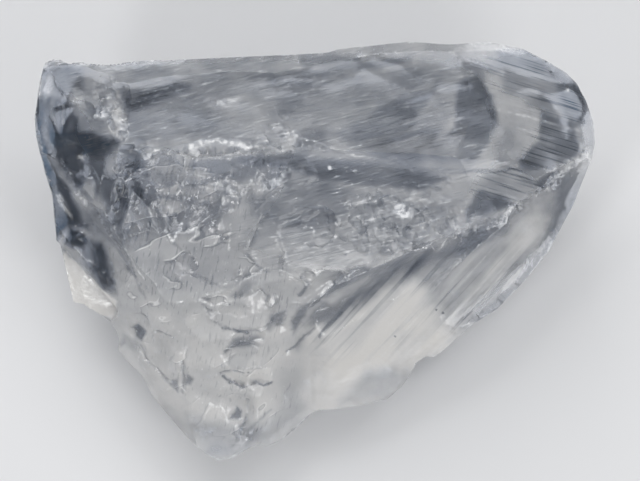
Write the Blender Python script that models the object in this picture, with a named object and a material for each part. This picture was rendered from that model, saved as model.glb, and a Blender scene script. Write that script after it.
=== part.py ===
"""A broken piece of clear petalite, as one solid.

Petalite splits along a flat cleavage and breaks across it in shell-shaped scars, so the piece is made
the same way: a rough blank with the outline of the rim, flat cleavages sliced off it, and curved scars
scooped out of it. Metres, +Z up. The origin is on the surface that the piece rests on, under the middle
of its outline; +X runs along its length and +Y towards its straight long edge.
"""

import math
import random

import bmesh
import bpy
from mathutils import Matrix, Vector, noise
from mathutils.bvhtree import BVHTree

MM = 0.001
NODE_NAME = "petalite"

BLANK_TOP = 19.0 * MM
FOOT_SHARE = 0.66  # how much of the rim's outline the foot keeps
RIM_BAND = 0.5 * MM  # blunt height of the rim, straight up
PLACES = 7  # decimal places of a metre that the blank's points keep
MERGE = 1e-7  # two points nearer than this, in metres, are one where a cleavage cuts

BOWL_CLEAR = 0.6  # how far a scar's bowl stands clear of the surface, as a share of its lower half
BOWL_RISE = 5  # how much taller than its lower half the upper half of a scar's bowl is
SPREAD = 1.12  # a scar runs on this much past its ridge, so that neighbours meet
WAVES = ((4.2 * MM, 0.20 * MM), (1.5 * MM, 0.09 * MM))  # length and height of the unevenness of a scar
SEED = 7

COLOUR = (0.60, 0.62, 0.65, 1.0)
ROUGHNESS = 0.12
REFRACTION = 1.51
SEE_THROUGH = 0.75

# The rim, anticlockwise from the corner of the straight edge: x, y and height in millimetres.
RIM = [
    (-24.1, 16.8, 13.6),
    (-24.6, 15.0, 13.0),
    (-25.0, 12.0, 11.6),
    (-24.9, 10.4, 11.0),
    (-24.2, 7.2, 10.0),
    (-23.6, 5.2, 9.0),
    (-23.3, 2.0, 7.6),
    (-23.1, -1.5, 6.2),
    (-22.9, -3.6, 5.6),
    (-22.4, -4.4, 5.4),
    (-20.9, -4.6, 5.4),
    (-19.8, -5.3, 5.6),
    (-18.4, -6.2, 6.0),
    (-17.6, -7.4, 6.4),
    (-17.3, -8.2, 6.6),
    (-17.8, -8.6, 6.6),
    (-17.0, -9.7, 6.0),
    (-15.9, -10.7, 5.8),
    (-15.3, -11.4, 5.6),
    (-14.8, -12.7, 5.2),
    (-13.5, -14.4, 4.8),
    (-11.5, -16.7, 4.4),
    (-9.9, -18.2, 4.2),
    (-8.8, -18.8, 4.2),
    (-7.6, -18.6, 4.2),
    (-6.4, -17.9, 4.4),
    (-5.5, -17.4, 4.6),
    (-4.4, -17.5, 4.6),
    (-3.1, -17.0, 4.8),
    (-1.4, -15.6, 5.0),
    (-0.2, -14.4, 5.0),
    (2.3, -14.0, 4.8),
    (4.3, -13.8, 4.5),
    (5.7, -13.4, 4.3),
    (6.5, -13.3, 4.1),
    (7.9, -12.1, 4.5),
    (8.6, -11.0, 5.2),
    (9.1, -9.9, 5.5),
    (10.0, -9.3, 5.5),
    (10.8, -9.4, 5.2),
    (12.8, -7.7, 5.6),
    (14.3, -6.4, 5.8),
    (16.5, -5.0, 6.0),
    (19.1, -2.3, 6.6),
    (21.1, 0.2, 7.2),
    (23.2, 4.3, 8.6),
    (24.8, 8.7, 10.2),
    (25.0, 9.8, 10.6),
    (24.9, 11.6, 11.0),
    (24.2, 13.6, 11.5),
    (23.4, 15.1, 11.9),
    (22.4, 16.1, 12.2),
    (20.9, 17.0, 12.6),
    (18.5, 18.2, 13.2),
    (15.3, 18.8, 13.8),
    (12.0, 18.5, 14.1),
    (8.4, 18.8, 14.2),
    (2.0, 18.1, 14.0),
    (1.2, 17.8, 13.9),
    (-5.4, 17.5, 13.8),
    (-12.0, 17.2, 13.7),
    (-20.1, 17.0, 13.7),
    (-22.2, 16.9, 13.9),
    (-22.9, 17.4, 14.1),
    (-23.6, 17.5, 14.1),
]

# Flat cleavages: name, a point on the face, the way it falls and how steeply it falls, in degrees.
CLEAVAGES = [
    ("plateau", (0.0, 9.0, 15.9), -90, 1),
    ("back_bevel", (-5.0, 16.3, 15.3), 96, 38),
    ("right_shoulder", (15.0, 10.0, 15.3), 8, 19),
    ("right_corner", (18.0, 15.2, 14.6), 50, 26),
    ("lower_side", (7.6, -1.2, 14.6), -64, 45),
    ("tip_slope", (-8.5, -3.4, 14.9), -101, 32),
    ("tip_left", (-13.2, -10.6, 8.9), -140, 50),
    ("left_flank", (-18.0, 1.2, 13.4), -146, 47),
    ("left_end", (-19.5, 10.0, 14.9), 205, 30),
    ("back_foot", (0.0, 13.0, 4.0), 94, 142),
    ("right_foot", (19.0, 8.0, 3.6), 2, 138),
    ("corner_foot", (12.6, -2.6, 1.8), -42, 146),
    ("left_foot", (-17.4, 6.0, 3.2), 172, 140),
]

# Shell-shaped scars: name, the middle of the scar on the surface, the way it faces, its turn in degrees,
# its length, width and depth in millimetres, and how finely it is cut.
SCARS = [
    ("long_trough", (-10.3, 12.1, 15.8), (0.0, 0.05, 1), 3, 19.5, 8.0, 1.5, 4),
    ("fan_trough", (4.9, 12.6, 15.7), (0.03, 0.05, 1), 4, 24.0, 9.5, 1.7, 4),
    ("fan_end", (16.6, 12.0, 14.7), (0.3, 0.05, 1), -25, 16.0, 12.0, 1.1, 4),
    ("shade_strip", (3.1, 7.2, 14.9), (0.0, -0.25, 1), -5, 24.0, 4.8, 0.9, 3),
    ("middle_field", (0.4, 3.4, 15.2), (0.03, -0.08, 1), 10, 21.0, 9.0, 1.4, 4),
    ("crumble_field", (9.0, 3.4, 14.9), (0.05, -0.1, 1), 25, 12.0, 6.0, 0.9, 3),
    ("right_field", (16.6, 6.1, 14.4), (0.2, -0.1, 1), 15, 14.0, 6.5, 0.9, 3),
    ("upper_left_field", (-13.0, 6.1, 15.3), (0.0, -0.1, 1), -5, 12.0, 7.5, 1.3, 3),
    ("lower_left_field", (-11.2, 1.2, 15.1), (-0.05, -0.2, 1), -30, 13.0, 9.0, 1.2, 3),
    ("low_field", (-5.4, -2.7, 14.8), (0.0, -0.3, 1), 10, 13.0, 6.0, 1.1, 3),
    ("oval_scar", (-7.2, -5.4, 13.7), (0.0, -0.6, 1), 0, 8.5, 4.0, 0.7, 3),
    ("tip_scar_upper", (-6.3, -9.0, 11.4), (0.0, -0.6, 1), 5, 7.5, 4.5, 0.6, 3),
    ("tip_scar_left", (-13.0, -6.9, 12.6), (-0.2, -0.6, 1), -60, 9.0, 6.0, 0.8, 3),
    ("tip_scar", (-8.1, -14.2, 8.2), (-0.05, -0.6, 1), 80, 9.0, 7.0, 0.6, 3),
    ("tip_side", (-3.0, -13.0, 8.0), (0.7, -0.6, 1), -70, 18.0, 5.2, 1.1, 3),
    ("side_groove", (4.2, -3.8, 13.4), (0.33, -0.75, 1), 27, 23.0, 4.4, 1.0, 3),
    ("side_hollow", (8.6, -6.4, 9.9), (0.43, -0.9, 1), 33, 24.0, 9.0, 0.9, 4),
    ("side_end", (19.0, 1.6, 9.7), (0.55, -0.8, 1), 48, 18.0, 6.5, 0.6, 3),
    ("left_window", (-20.4, 11.5, 14.0), (-0.55, 0.05, 1), 95, 9.5, 7.0, 1.4, 3),
    ("left_leaf", (-20.0, 6.6, 13.2), (-0.6, -0.3, 1), 60, 7.5, 5.0, 1.0, 3),
    ("left_flute", (-20.4, 2.7, 11.3), (-0.8, -0.5, 1), -52, 12.0, 4.6, 0.9, 3),
    ("under_back", (-4.0, 13.9, 5.6), (0.05, 1.0, -0.45), 2, 26.0, 9.0, 1.1, 3),
    ("back_left", (-16.5, 14.9, 8.4), (-0.1, 1.0, -0.3), 10, 13.0, 9.0, 0.8, 3),
    ("back_right", (10.5, 15.7, 8.0), (0.1, 1.0, -0.4), -4, 20.0, 10.0, 0.9, 3),
    ("under_right", (20.5, 6.5, 4.0), (1.0, -0.1, -0.6), 90, 13.0, 6.0, 1.0, 3),
    ("under_front", (5.0, -9.5, 1.8), (0.2, -1.0, -0.9), 20, 14.0, 4.5, 0.8, 3),
    ("under_left", (-18.5, 0.5, 3.0), (-1.0, -0.3, -0.7), 90, 10.0, 4.5, 0.8, 3),
]

# Flakes struck off afterwards: name, x and y of the middle, how far it leans beside the surface's own way,
# its turn in degrees, its length, width and depth in millimetres.
FLAKES = [
    ("window_chip", (-17.2, 12.3), (-0.3, 0.2), 95, 5.2, 2.4, 0.6),
    ("leaf", (-17.6, 4.3), (0.3, 0.0), 75, 6.4, 2.3, 0.5),
    ("box", (-13.3, 7.2), (0.0, 0.3), 10, 3.6, 3.2, 0.6),
    ("tooth_left", (-13.6, 2.6), (-0.4, 0.1), -62, 5.6, 3.0, 0.7),
    ("tooth_right", (-10.6, 3.2), (0.4, 0.1), 58, 5.0, 2.8, 0.6),
    ("bright_lens", (-9.2, 9.7), (0.0, -0.4), 4, 7.6, 1.8, 0.5),
    ("trough_chip", (-2.7, 10.6), (-0.3, -0.2), 70, 3.4, 2.3, 0.6),
    ("strip_chip", (-4.1, 6.2), (0.1, -0.5), 30, 4.6, 1.8, 0.5),
    ("shell_left", (-3.8, 0.8), (-0.3, 0.0), 80, 5.0, 3.3, 0.5),
    ("shell_right", (-1.2, 2.2), (0.3, 0.1), 10, 5.2, 3.6, 0.5),
    ("milk_shell", (-14.0, -0.7), (-0.2, -0.1), -50, 7.0, 5.0, 0.5),
    ("field_shell", (-7.0, -0.6), (0.1, 0.1), 10, 8.0, 4.8, 0.6),
    ("second_groove", (1.6, -2.3), (-0.3, 0.3), 33, 9.6, 2.0, 0.7),
    ("tip_band", (-6.4, -6.8), (0.0, 0.4), 4, 7.6, 2.2, 0.35),
    ("tip_edge", (-6.3, -11.9), (0.1, 0.5), -14, 6.6, 2.0, 0.4),
    ("tip_low", (-8.2, -15.4), (0.3, 0.1), 70, 6.0, 4.0, 0.3),
    ("tip_left_chip", (-13.4, -10.0), (-0.2, 0.3), 55, 6.4, 3.4, 0.45),
    ("dark_pit", (-16.0, -6.6), (0.2, 0.3), 20, 3.6, 2.6, 0.8),
    ("side_crease", (-0.4, -12.3), (0.5, 0.0), 88, 7.4, 1.6, 0.4),
]

# Patches where it broke up small: name, x and y of the middle, length and width, turn in degrees, how many
# flakes, and the least and greatest length of a flake.
CRUMBLES = [
    ("right_crumble", (8.2, 3.2), (12.0, 5.0), 12, 18, (1.6, 3.6)),
    ("teeth", (-11.6, 5.0), (9.0, 5.0), -10, 13, (1.8, 3.8)),
    ("strip_edge", (-6.0, 6.2), (11.0, 2.4), 4, 9, (1.2, 3.0)),
    ("step_end", (-3.0, 10.8), (4.0, 3.0), 0, 4, (1.0, 2.0)),
    ("corner", (-18.4, 13.8), (4.0, 4.0), 0, 6, (1.2, 2.6)),
    ("left_edge", (-20.8, 3.0), (11.0, 3.0), -58, 5, (1.4, 3.0)),
    ("milk", (-13.6, -3.4), (8.0, 7.0), -40, 4, (3.0, 5.0)),
    ("tip", (-7.6, -9.0), (9.0, 6.0), 85, 6, (2.4, 4.6)),
    ("groove", (-1.0, -4.8), (9.0, 2.6), 35, 3, (1.4, 3.0)),
]
FLAKE_FINENESS = 1
FLAKE_WIDTH = 0.62  # of a scattered flake, beside its length
FLAKE_DEPTH = 0.11
LEAN = 0.35  # most that a scattered flake leans beside the surface's own way

# The stepped corner at the left: its inner corner, the way its floor faces, the turn of its wall, its size.
LEDGE_CORNER = (-20.1, -1.3, 7.2)
LEDGE_FACES = (-0.25, -0.35, 1)
LEDGE_TURN = -47
LEDGE_SIZE = (9.4, 8.0, 9.0)


def heading(degrees):
    """The level direction at this angle, anticlockwise from +X."""
    angle = math.radians(degrees)
    return Vector((math.cos(angle), math.sin(angle), 0))


def make_blank():
    """The rough piece: the rim's outline, drawn in to the foot below it and straight above it."""
    shape = bmesh.new()
    number = shape.verts.layers.int.new("rim_number")
    foot = []
    for index, (x, y, _) in enumerate(RIM):
        vert = shape.verts.new((x * FOOT_SHARE * MM, y * FOOT_SHARE * MM, 0))
        vert[number] = index
        foot.append(vert)
    edges = shape.faces.new(foot).edges[:]
    for straight_up in (False, True):
        raised = bmesh.ops.extrude_edge_only(shape, edges=edges)["geom"]
        edges = [part for part in raised if isinstance(part, bmesh.types.BMEdge)]
        for vert in (part for part in raised if isinstance(part, bmesh.types.BMVert)):
            x, y, height = RIM[vert[number]]
            vert.co = (x * MM, y * MM, BLANK_TOP if straight_up else height * MM - RIM_BAND)
    bmesh.ops.contextual_create(shape, geom=edges)
    bmesh.ops.recalc_face_normals(shape, faces=shape.faces)
    return shape


def cleave(shape, point, falls_towards, slope):
    """Slices off all that is above a flat face through this point, and closes the cut."""
    tilt = math.radians(slope)
    normal = heading(falls_towards) * math.sin(tilt) + Vector((0, 0, math.cos(tilt)))
    cut = bmesh.ops.bisect_plane(
        shape,
        geom=shape.verts[:] + shape.edges[:] + shape.faces[:],
        dist=MERGE,
        plane_co=Vector(point) * MM,
        plane_no=normal,
        clear_outer=True,
    )
    rim = [part for part in cut["geom_cut"] if isinstance(part, bmesh.types.BMEdge)]
    if rim:
        bmesh.ops.holes_fill(shape, edges=rim, sides=0)


def in_order(shape):
    """The same shape with its points and faces in a fixed order, so that every run cuts it alike."""
    ordered = bmesh.new()
    points = sorted(vert.co.to_tuple(PLACES) for vert in shape.verts)
    verts = {point: ordered.verts.new(point) for point in points}
    rank = {point: index for index, point in enumerate(points)}
    outlines = []
    for face in shape.faces:
        outline = [vert.co.to_tuple(PLACES) for vert in face.verts]
        first = outline.index(min(outline))
        outlines.append(outline[first:] + outline[:first])
    for outline in sorted(outlines, key=lambda outline: [rank[point] for point in outline]):
        ordered.faces.new([verts[point] for point in outline])
    shape.free()
    return ordered


def frame_at(point, faces, turn):
    """Axes at a point: Z the way that the face looks, X along its length."""
    up = Vector(faces).normalized()
    along = heading(turn)
    along = (along - up * along.dot(up)).normalized()
    frame = Matrix((along, up.cross(along), up)).transposed().to_4x4()
    frame.translation = point
    return frame


def roughen(shape):
    """Moves the points about in long and short waves, so that no two scars break alike."""
    for wavelength, height in WAVES:
        for vert in shape.verts:
            vert.co += noise.noise_vector(vert.co / wavelength) * height


def make_scar(name, frame, length, width, depth, fineness, collection):
    """A bowl of the scar's size, sunk so that it cuts this deep at the middle of the frame.

    Its upper half is drawn out, so that it clears all that stands over it and leaves no overhang.
    """
    shape = bmesh.new()
    bmesh.ops.create_icosphere(shape, subdivisions=fineness, radius=1)
    for vert in shape.verts:
        if vert.co.z > 0:
            vert.co.z *= BOWL_RISE
    reach = math.sqrt(1 - BOWL_CLEAR**2)
    half_length = length / 2 / reach * SPREAD
    half_width = width / 2 / reach * SPREAD
    sizes = Vector((half_length, half_width, depth / (1 - BOWL_CLEAR))) * MM
    placed = frame @ Matrix.Translation((0, 0, sizes.z * BOWL_CLEAR)) @ Matrix.Diagonal((*sizes, 1))
    bmesh.ops.transform(shape, matrix=placed, verts=shape.verts)
    roughen(shape)
    return add_object(shape, name, collection, cutter=True)


def make_ledge(collection):
    """A block whose floor and inner wall cut the stepped corner."""
    shape = bmesh.new()
    bmesh.ops.create_cube(shape, size=1)
    sizes = Vector(LEDGE_SIZE) * MM
    frame = frame_at(Vector(LEDGE_CORNER) * MM, LEDGE_FACES, LEDGE_TURN)
    frame = frame @ Matrix.Translation((0, -sizes.y / 2, sizes.z / 2))
    bmesh.ops.transform(shape, matrix=frame @ Matrix.Diagonal((*sizes, 1)), verts=shape.verts)
    return add_object(shape, "ledge", collection, cutter=True)


def add_flakes(stone, collection):
    """Drops the small flakes onto the surface from above, so that they cut where the scars left the stone."""
    surface = BVHTree.FromObject(stone, bpy.context.evaluated_depsgraph_get())
    dice = random.Random(SEED)
    flakes = list(FLAKES)
    for name, (x, y), (long, wide), patch_turn, count, (least, greatest) in CRUMBLES:
        across = Matrix.Rotation(math.radians(patch_turn), 2)
        for index in range(count):
            shift = across @ Vector((dice.uniform(-long, long) / 2, dice.uniform(-wide, wide) / 2))
            leans = (dice.uniform(-LEAN, LEAN), dice.uniform(-LEAN, LEAN))
            length = dice.uniform(least, greatest)
            turn = dice.uniform(0, 180)
            sizes = (length, length * FLAKE_WIDTH, length * FLAKE_DEPTH)
            flakes.append((f"{name}_{index}", (x + shift.x, y + shift.y), leans, turn, *sizes))
    for name, (x, y), leans, turn, *sizes in flakes:
        above = Vector((x * MM, y * MM, BLANK_TOP))
        point, normal, _, _ = surface.ray_cast(above, Vector((0, 0, -1)))
        if point is None:  # past the rim
            continue
        frame = frame_at(point, normal + Vector((*leans, 0)), turn)
        make_scar(name, frame, *sizes, FLAKE_FINENESS, collection)


def take_away(stone, collection):
    """Cuts each shape of this collection from the stone, one after another."""
    for cutter in sorted(collection.objects, key=lambda thing: thing.name):
        cut = stone.modifiers.new(cutter.name, "BOOLEAN")
        cut.operation = "DIFFERENCE"
        cut.object = cutter
        cut.solver = "EXACT"


def add_object(shape, name, collection, cutter=False):
    """Makes an object of this shape in the collection."""
    mesh = bpy.data.meshes.new(name)
    shape.to_mesh(mesh)
    shape.free()
    thing = bpy.data.objects.new(name, mesh)
    collection.objects.link(thing)
    if cutter:
        thing.hide_render = True
        thing.display_type = "WIRE"
    return thing


def make_material():
    """Clear stone with a faint grey-blue tint, milky only a little."""
    material = bpy.data.materials.new("petalite")
    material.use_nodes = True
    surface = material.node_tree.nodes["Principled BSDF"]
    surface.inputs["Base Color"].default_value = COLOUR
    surface.inputs["Roughness"].default_value = ROUGHNESS
    surface.inputs["Metallic"].default_value = 0.0
    surface.inputs["IOR"].default_value = REFRACTION
    surface.inputs["Transmission Weight"].default_value = SEE_THROUGH
    return material


def main():
    for thing in list(bpy.data.objects):
        bpy.data.objects.remove(thing)
    noise.seed_set(SEED)
    collections = {name: bpy.data.collections.new(name) for name in ("petalite", "scars", "flakes")}
    for name, collection in collections.items():
        bpy.context.scene.collection.children.link(collection)
        collection.hide_render = name != "petalite"

    blank = make_blank()
    for _, point, falls_towards, slope in CLEAVAGES:
        cleave(blank, point, falls_towards, slope)
    blank = in_order(blank)
    bmesh.ops.triangulate(blank, faces=blank.faces)
    stone = add_object(blank, NODE_NAME, collections["petalite"])
    stone.data.materials.append(make_material())
    for name, point, faces, turn, *sizes in SCARS:
        make_scar(name, frame_at(Vector(point) * MM, faces, turn), *sizes, collections["scars"])
    make_ledge(collections["scars"])
    take_away(stone, collections["scars"])
    add_flakes(stone, collections["flakes"])
    take_away(stone, collections["flakes"])


main()
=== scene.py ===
# %% [markdown]
# A broken piece of petalite, a clear to milky stone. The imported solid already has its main
# cleavages and scars. This lesson starts from that solid, works the fine breaks into it, and gives
# it the look of a glassy stone that turns milky where light has to pass through many small cracks.

import math

import bmesh
import bpy
import numpy as np
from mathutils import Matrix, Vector, noise
from mathutils.bvhtree import BVHTree
from mathutils.kdtree import KDTree


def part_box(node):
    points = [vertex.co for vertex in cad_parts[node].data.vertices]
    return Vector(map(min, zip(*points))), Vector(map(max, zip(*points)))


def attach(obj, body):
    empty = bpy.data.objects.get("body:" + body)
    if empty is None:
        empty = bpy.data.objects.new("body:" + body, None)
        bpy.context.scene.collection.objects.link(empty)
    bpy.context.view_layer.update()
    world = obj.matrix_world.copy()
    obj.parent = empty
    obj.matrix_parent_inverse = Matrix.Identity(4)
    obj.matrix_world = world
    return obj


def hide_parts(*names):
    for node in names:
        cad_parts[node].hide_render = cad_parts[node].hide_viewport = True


MM = 0.001
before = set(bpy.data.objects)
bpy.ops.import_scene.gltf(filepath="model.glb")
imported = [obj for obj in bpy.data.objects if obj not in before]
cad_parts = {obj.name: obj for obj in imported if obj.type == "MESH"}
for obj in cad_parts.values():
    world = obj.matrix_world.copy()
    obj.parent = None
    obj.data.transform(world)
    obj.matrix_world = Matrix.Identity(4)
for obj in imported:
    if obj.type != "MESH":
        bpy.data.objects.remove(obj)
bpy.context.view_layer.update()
STONE_NODE = "petalite"
low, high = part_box(STONE_NODE)
print("solid:", [round(side / MM, 1) for side in high - low], "mm")

# %% [markdown]
# The camera comes first, so that every later step can be looked at from the right place. It hangs
# straight above the stone with a long lens, which keeps the outline free of perspective. The
# picture is 640 pixels wide and one pixel covers a fixed length on the stone, which sets the focal
# length.

# %% Camera
PICTURE_WIDTH = 640  # pixels
PICTURE_HEIGHT = 481
PIXEL = 0.0898 * MM  # length on the stone that one pixel covers
ORIGIN_PIXEL = (315, 253)  # where the middle of the stone's box is seen
CAMERA_DISTANCE = 0.5
MIDDLE_HEIGHT = 9 * MM  # the scale holds at this height
SENSOR = 36  # mm

lens = bpy.data.cameras.new("camera")
lens.sensor_width = SENSOR
lens.lens = SENSOR * CAMERA_DISTANCE / (PICTURE_WIDTH * PIXEL)
lens.clip_start = 0.01
camera = bpy.data.objects.new("camera", lens)
bpy.context.scene.collection.objects.link(camera)
across = (PICTURE_WIDTH / 2 - ORIGIN_PIXEL[0]) * PIXEL
upward = (ORIGIN_PIXEL[1] - PICTURE_HEIGHT / 2) * PIXEL
camera.location = (across, upward, MIDDLE_HEIGHT + CAMERA_DISTANCE)
bpy.context.scene.camera = camera
print("lens:", round(lens.lens), "mm")

# %% [markdown]
# The stone's own mesh has long thin triangles, which can't carry fine relief. A voxel remesh wraps
# it in an even net. The net rounds the ridges off, so every point of it is put back on the solid,
# and the points nearest to a sharp edge are put on that edge. The side that faces up gets a net
# twice as fine.

# %% The solid and its ridges
SHARP = math.radians(22)  # two faces that meet at more than this make a ridge
RIDGE_STEP = 0.1 * MM  # spacing of the points that are laid along the ridges

solid = bmesh.new()
solid.from_mesh(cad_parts[STONE_NODE].data)
bmesh.ops.remove_doubles(solid, verts=solid.verts, dist=0.002 * MM)
surface = BVHTree.FromBMesh(solid)

ridge_points = []
for edge in solid.edges:
    if edge.is_manifold and edge.calc_face_angle(0) > SHARP:
        start, end = (vert.co for vert in edge.verts)
        steps = max(1, round((end - start).length / RIDGE_STEP))
        ridge_points += [start.lerp(end, (step + 0.5) / steps) for step in range(steps)]
ridges = KDTree(len(ridge_points))
for index, point in enumerate(ridge_points):
    ridges.insert(point, index)
ridges.balance()
print("ridges:", len(ridge_points), "points")

# %% [markdown]
# The voxel net comes out a little off the solid, so three helpers repair it. The first puts its
# points back. The second takes out the tiny edges that this leaves along a ridge. The third closes
# any gap, since a see-through stone has to be one closed skin, or light would not bend in it as in
# glass.

# %% Helpers for the net
RIDGE_REACH = 0.13 * MM  # a point of the net this near to a ridge is put on it
TOO_NEAR = 0.02 * MM  # points closer than this become one


def put_back(verts):
    """Puts the points on the solid's surface, and on its ridges where one is near."""
    for vert in verts:
        vert.co = surface.find_nearest(vert.co)[0]
        ridge, _, distance = ridges.find(vert.co)
        if distance < RIDGE_REACH:
            vert.co = ridge


def shrink_edges(net, limit):
    """Shrinks the edges that are shorter than a limit to points, where both ends are on a ridge."""
    on_line = {vert for vert in net.verts if ridges.find(vert.co)[2] < TOO_NEAR / 2}
    short = [
        edge for edge in net.edges
        if edge.calc_length() < limit and edge.verts[0] in on_line and edge.verts[1] in on_line
    ]
    bmesh.ops.collapse(net, edges=short)
    bmesh.ops.triangulate(net, faces=net.faces)
    bmesh.ops.dissolve_degenerate(net, edges=net.edges, dist=TOO_NEAR)


def close_up(net):
    """Takes out the faces at the few edges that don't join two faces, and fills the holes."""
    for _ in range(4):
        wrong = [edge for edge in net.edges if not edge.is_manifold]
        if not wrong:
            break
        crowded = {face for edge in wrong for face in edge.link_faces if len(edge.link_faces) > 2}
        bmesh.ops.delete(net, geom=list(crowded), context="FACES")
        loose_verts = [vert for vert in net.verts if not vert.link_faces]
        bmesh.ops.delete(net, geom=loose_verts, context="VERTS")
        rims = [edge for edge in net.edges if edge.is_boundary]
        bmesh.ops.holes_fill(net, edges=rims, sides=0)
        bmesh.ops.triangulate(net, faces=net.faces)
    bmesh.ops.recalc_face_normals(net, faces=net.faces)


on_ridges = sum(ridges.find(vert.co)[2] < RIDGE_REACH for vert in solid.verts)
print("points of the solid on a ridge:", on_ridges, "of", len(solid.verts))

# %% [markdown]
# Some edges of the stone are as thin as a blade, and a voxel net would lose them. So the copy of
# the solid is made too fat before it is wrapped, and the net is then pulled in to the true surface.

# %% Wrap the solid in an even net
NET = 0.34 * MM
RIDGE_MERGE = 0.12 * MM  # on the coarse net, points of a ridge closer than this become one
FINE = 0.22  # a face whose normal rises at least this much gets the finer net
SWELL = 0.2 * MM  # the solid is wrapped this much too fat, so that no thin rim is lost in the net
MOST_SWELL = 5  # a rim as thin as a knife moves out by at most this many times more
swollen = [
    vert.co + vert.normal * SWELL * min(vert.calc_shell_factor(), MOST_SWELL)
    for vert in solid.verts
]
for vert, place in zip(solid.verts, swollen):
    vert.co = place
mesh = bpy.data.meshes.new("petalite_stone")
solid.to_mesh(mesh)
solid.free()
stone = bpy.data.objects.new("petalite_stone", mesh)
bpy.context.scene.collection.objects.link(stone)
remesh = stone.modifiers.new("net", "REMESH")
remesh.mode = "VOXEL"
remesh.voxel_size = NET
net = bmesh.new()
net.from_object(stone, bpy.context.evaluated_depsgraph_get())
stone.modifiers.clear()
put_back(net.verts)
shrink_edges(net, RIDGE_MERGE)
net.normal_update()
seen = [face for face in net.faces if face.normal.z > FINE]
seen_edges = list({edge for face in seen for edge in face.edges})
bmesh.ops.subdivide_edges(net, edges=seen_edges, cuts=1, use_grid_fill=True)
bmesh.ops.triangulate(net, faces=net.faces)
put_back(net.verts)
shrink_edges(net, 2 * TOO_NEAR)
close_up(net)
on_ridge = np.array([ridges.find(vert.co)[2] < TOO_NEAR / 2 for vert in net.verts])
net.to_mesh(mesh)
print("net:", len(net.faces), "triangles")
net.free()

# %% [markdown]
# From here on the net is worked like clay, as columns of numbers: one row for each point, in
# millimetres. A break in a glassy stone runs as a smooth shell from one ridge to the next, so the
# points between the ridges are evened out and the ridges stay where they are.

# %% Columns of numbers
flat = np.empty(len(mesh.vertices) * 3)
mesh.vertices.foreach_get("co", flat)
points = flat.reshape(-1, 3) / MM
flat_ends = np.empty(len(mesh.edges) * 2, dtype=np.int32)
mesh.edges.foreach_get("vertices", flat_ends)
first_end, second_end = flat_ends.reshape(-1, 2).T
flat_corners = np.empty(len(mesh.loops), dtype=np.int32)
mesh.loops.foreach_get("vertex_index", flat_corners)
triangles = flat_corners.reshape(-1, 3)
neighbours = np.bincount(flat_ends, minlength=len(points))
print("points:", len(points), "of which on ridges:", int(on_ridge.sum()))

# %% [markdown]
# A smooth brush moves every point towards the middle of its neighbours. Written out, it is one line
# for each round, and each point can have its own share of the move, which is 0 on a ridge.

# %% Even out the shells
def middles():
    """The middle of each point's neighbours."""
    found = np.empty_like(points)
    for axis in range(3):
        column = points[:, axis]
        total = np.bincount(first_end, column[second_end], len(points))
        total += np.bincount(second_end, column[first_end], len(points))
        found[:, axis] = total / neighbours
    return found


def soften(rounds, share):
    """Moves each point towards the middle of its neighbours, by its own share, again and again."""
    for _ in range(rounds):
        points[:] += (middles() - points) * share[:, None]


def outward():
    """The direction in which the surface faces at each point."""
    a, b, c = (points[triangles[:, corner]] for corner in range(3))
    faces = np.cross(b - a, c - a)
    total = np.empty_like(points)
    for axis in range(3):
        total[:, axis] = sum(
            np.bincount(triangles[:, corner], faces[:, axis], len(points)) for corner in range(3)
        )
    return total / np.maximum(np.linalg.norm(total, axis=1), 1e-9)[:, None]


soften(30, np.where(on_ridge, 0.0, 0.5))
normals = outward()
print("share of the skin that faces up:", round(float((normals[:, 2] > 0).mean()), 2))

# %% [markdown]
# A break is named by where it lies on the stone as seen from above. Each of these helpers gives
# every point a weight between 0 and 1, like a soft brush. The weight comes first and the work
# second, so that the same place can be sunk, made milky and frosted.

# %% Ovals with a soft rim
def eased(share):
    """Turns a straight ramp from 0 to 1 into one with soft ends."""
    share = np.clip(share, 0, 1)
    return share * share * (3 - 2 * share)


on_top = eased((normals[:, 2] + 0.02) / 0.1)


def patch(place, long, wide, turn=0, soft=0.6):
    """How far each point is inside an oval seen from above: 1 in the middle, 0 past its rim."""
    off_x, off_y = points[:, 0] - place[0], points[:, 1] - place[1]
    cosine, sine = math.cos(math.radians(turn)), math.sin(math.radians(turn))
    down = (off_x * cosine + off_y * sine) / long
    over = (off_y * cosine - off_x * sine) / wide
    return eased((1 - np.hypot(down, over)) / soft) * on_top


print("points that face up:", int(on_top.sum()))

# %% [markdown]
# Nothing broken is straight. Noise gives smooth hills that are the same at every run, and a little
# of it bends every line and rim below, so that a flake drawn with six corners looks torn and not
# cut out.

# %% Seeded hills
def grain(size, shift, turn=0, stretch=1):
    """Smooth seeded hills between -1 and 1, of a size in millimetres, stretched one way."""
    cosine, sine = math.cos(math.radians(turn)), math.sin(math.radians(turn))
    down = (points[:, 0] * cosine + points[:, 1] * sine) / (size * stretch)
    over = (points[:, 1] * cosine - points[:, 0] * sine) / size
    rise = points[:, 2] / (size * stretch) + shift
    return np.array([noise.noise(spot) for spot in zip(down, over, rise)])


BROAD_BEND, FINE_BEND = 0.22, 0.08  # mm by which a line wavers
bend_x = BROAD_BEND * grain(1.3, 21) + FINE_BEND * grain(0.45, 22)
bend_y = BROAD_BEND * grain(1.3, 23) + FINE_BEND * grain(0.45, 24)
flat_x, flat_y = points[:, 0].copy(), points[:, 1].copy()
print("a line wavers by up to", round(float(np.abs(bend_x).max()), 2), "mm")

# %% [markdown]
# Most flakes are many-sided, and ledges and ridges follow lines. The distance from each point to a
# line gives both: an area is inside its own rim line, and a band is whatever lies near a line.

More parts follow.
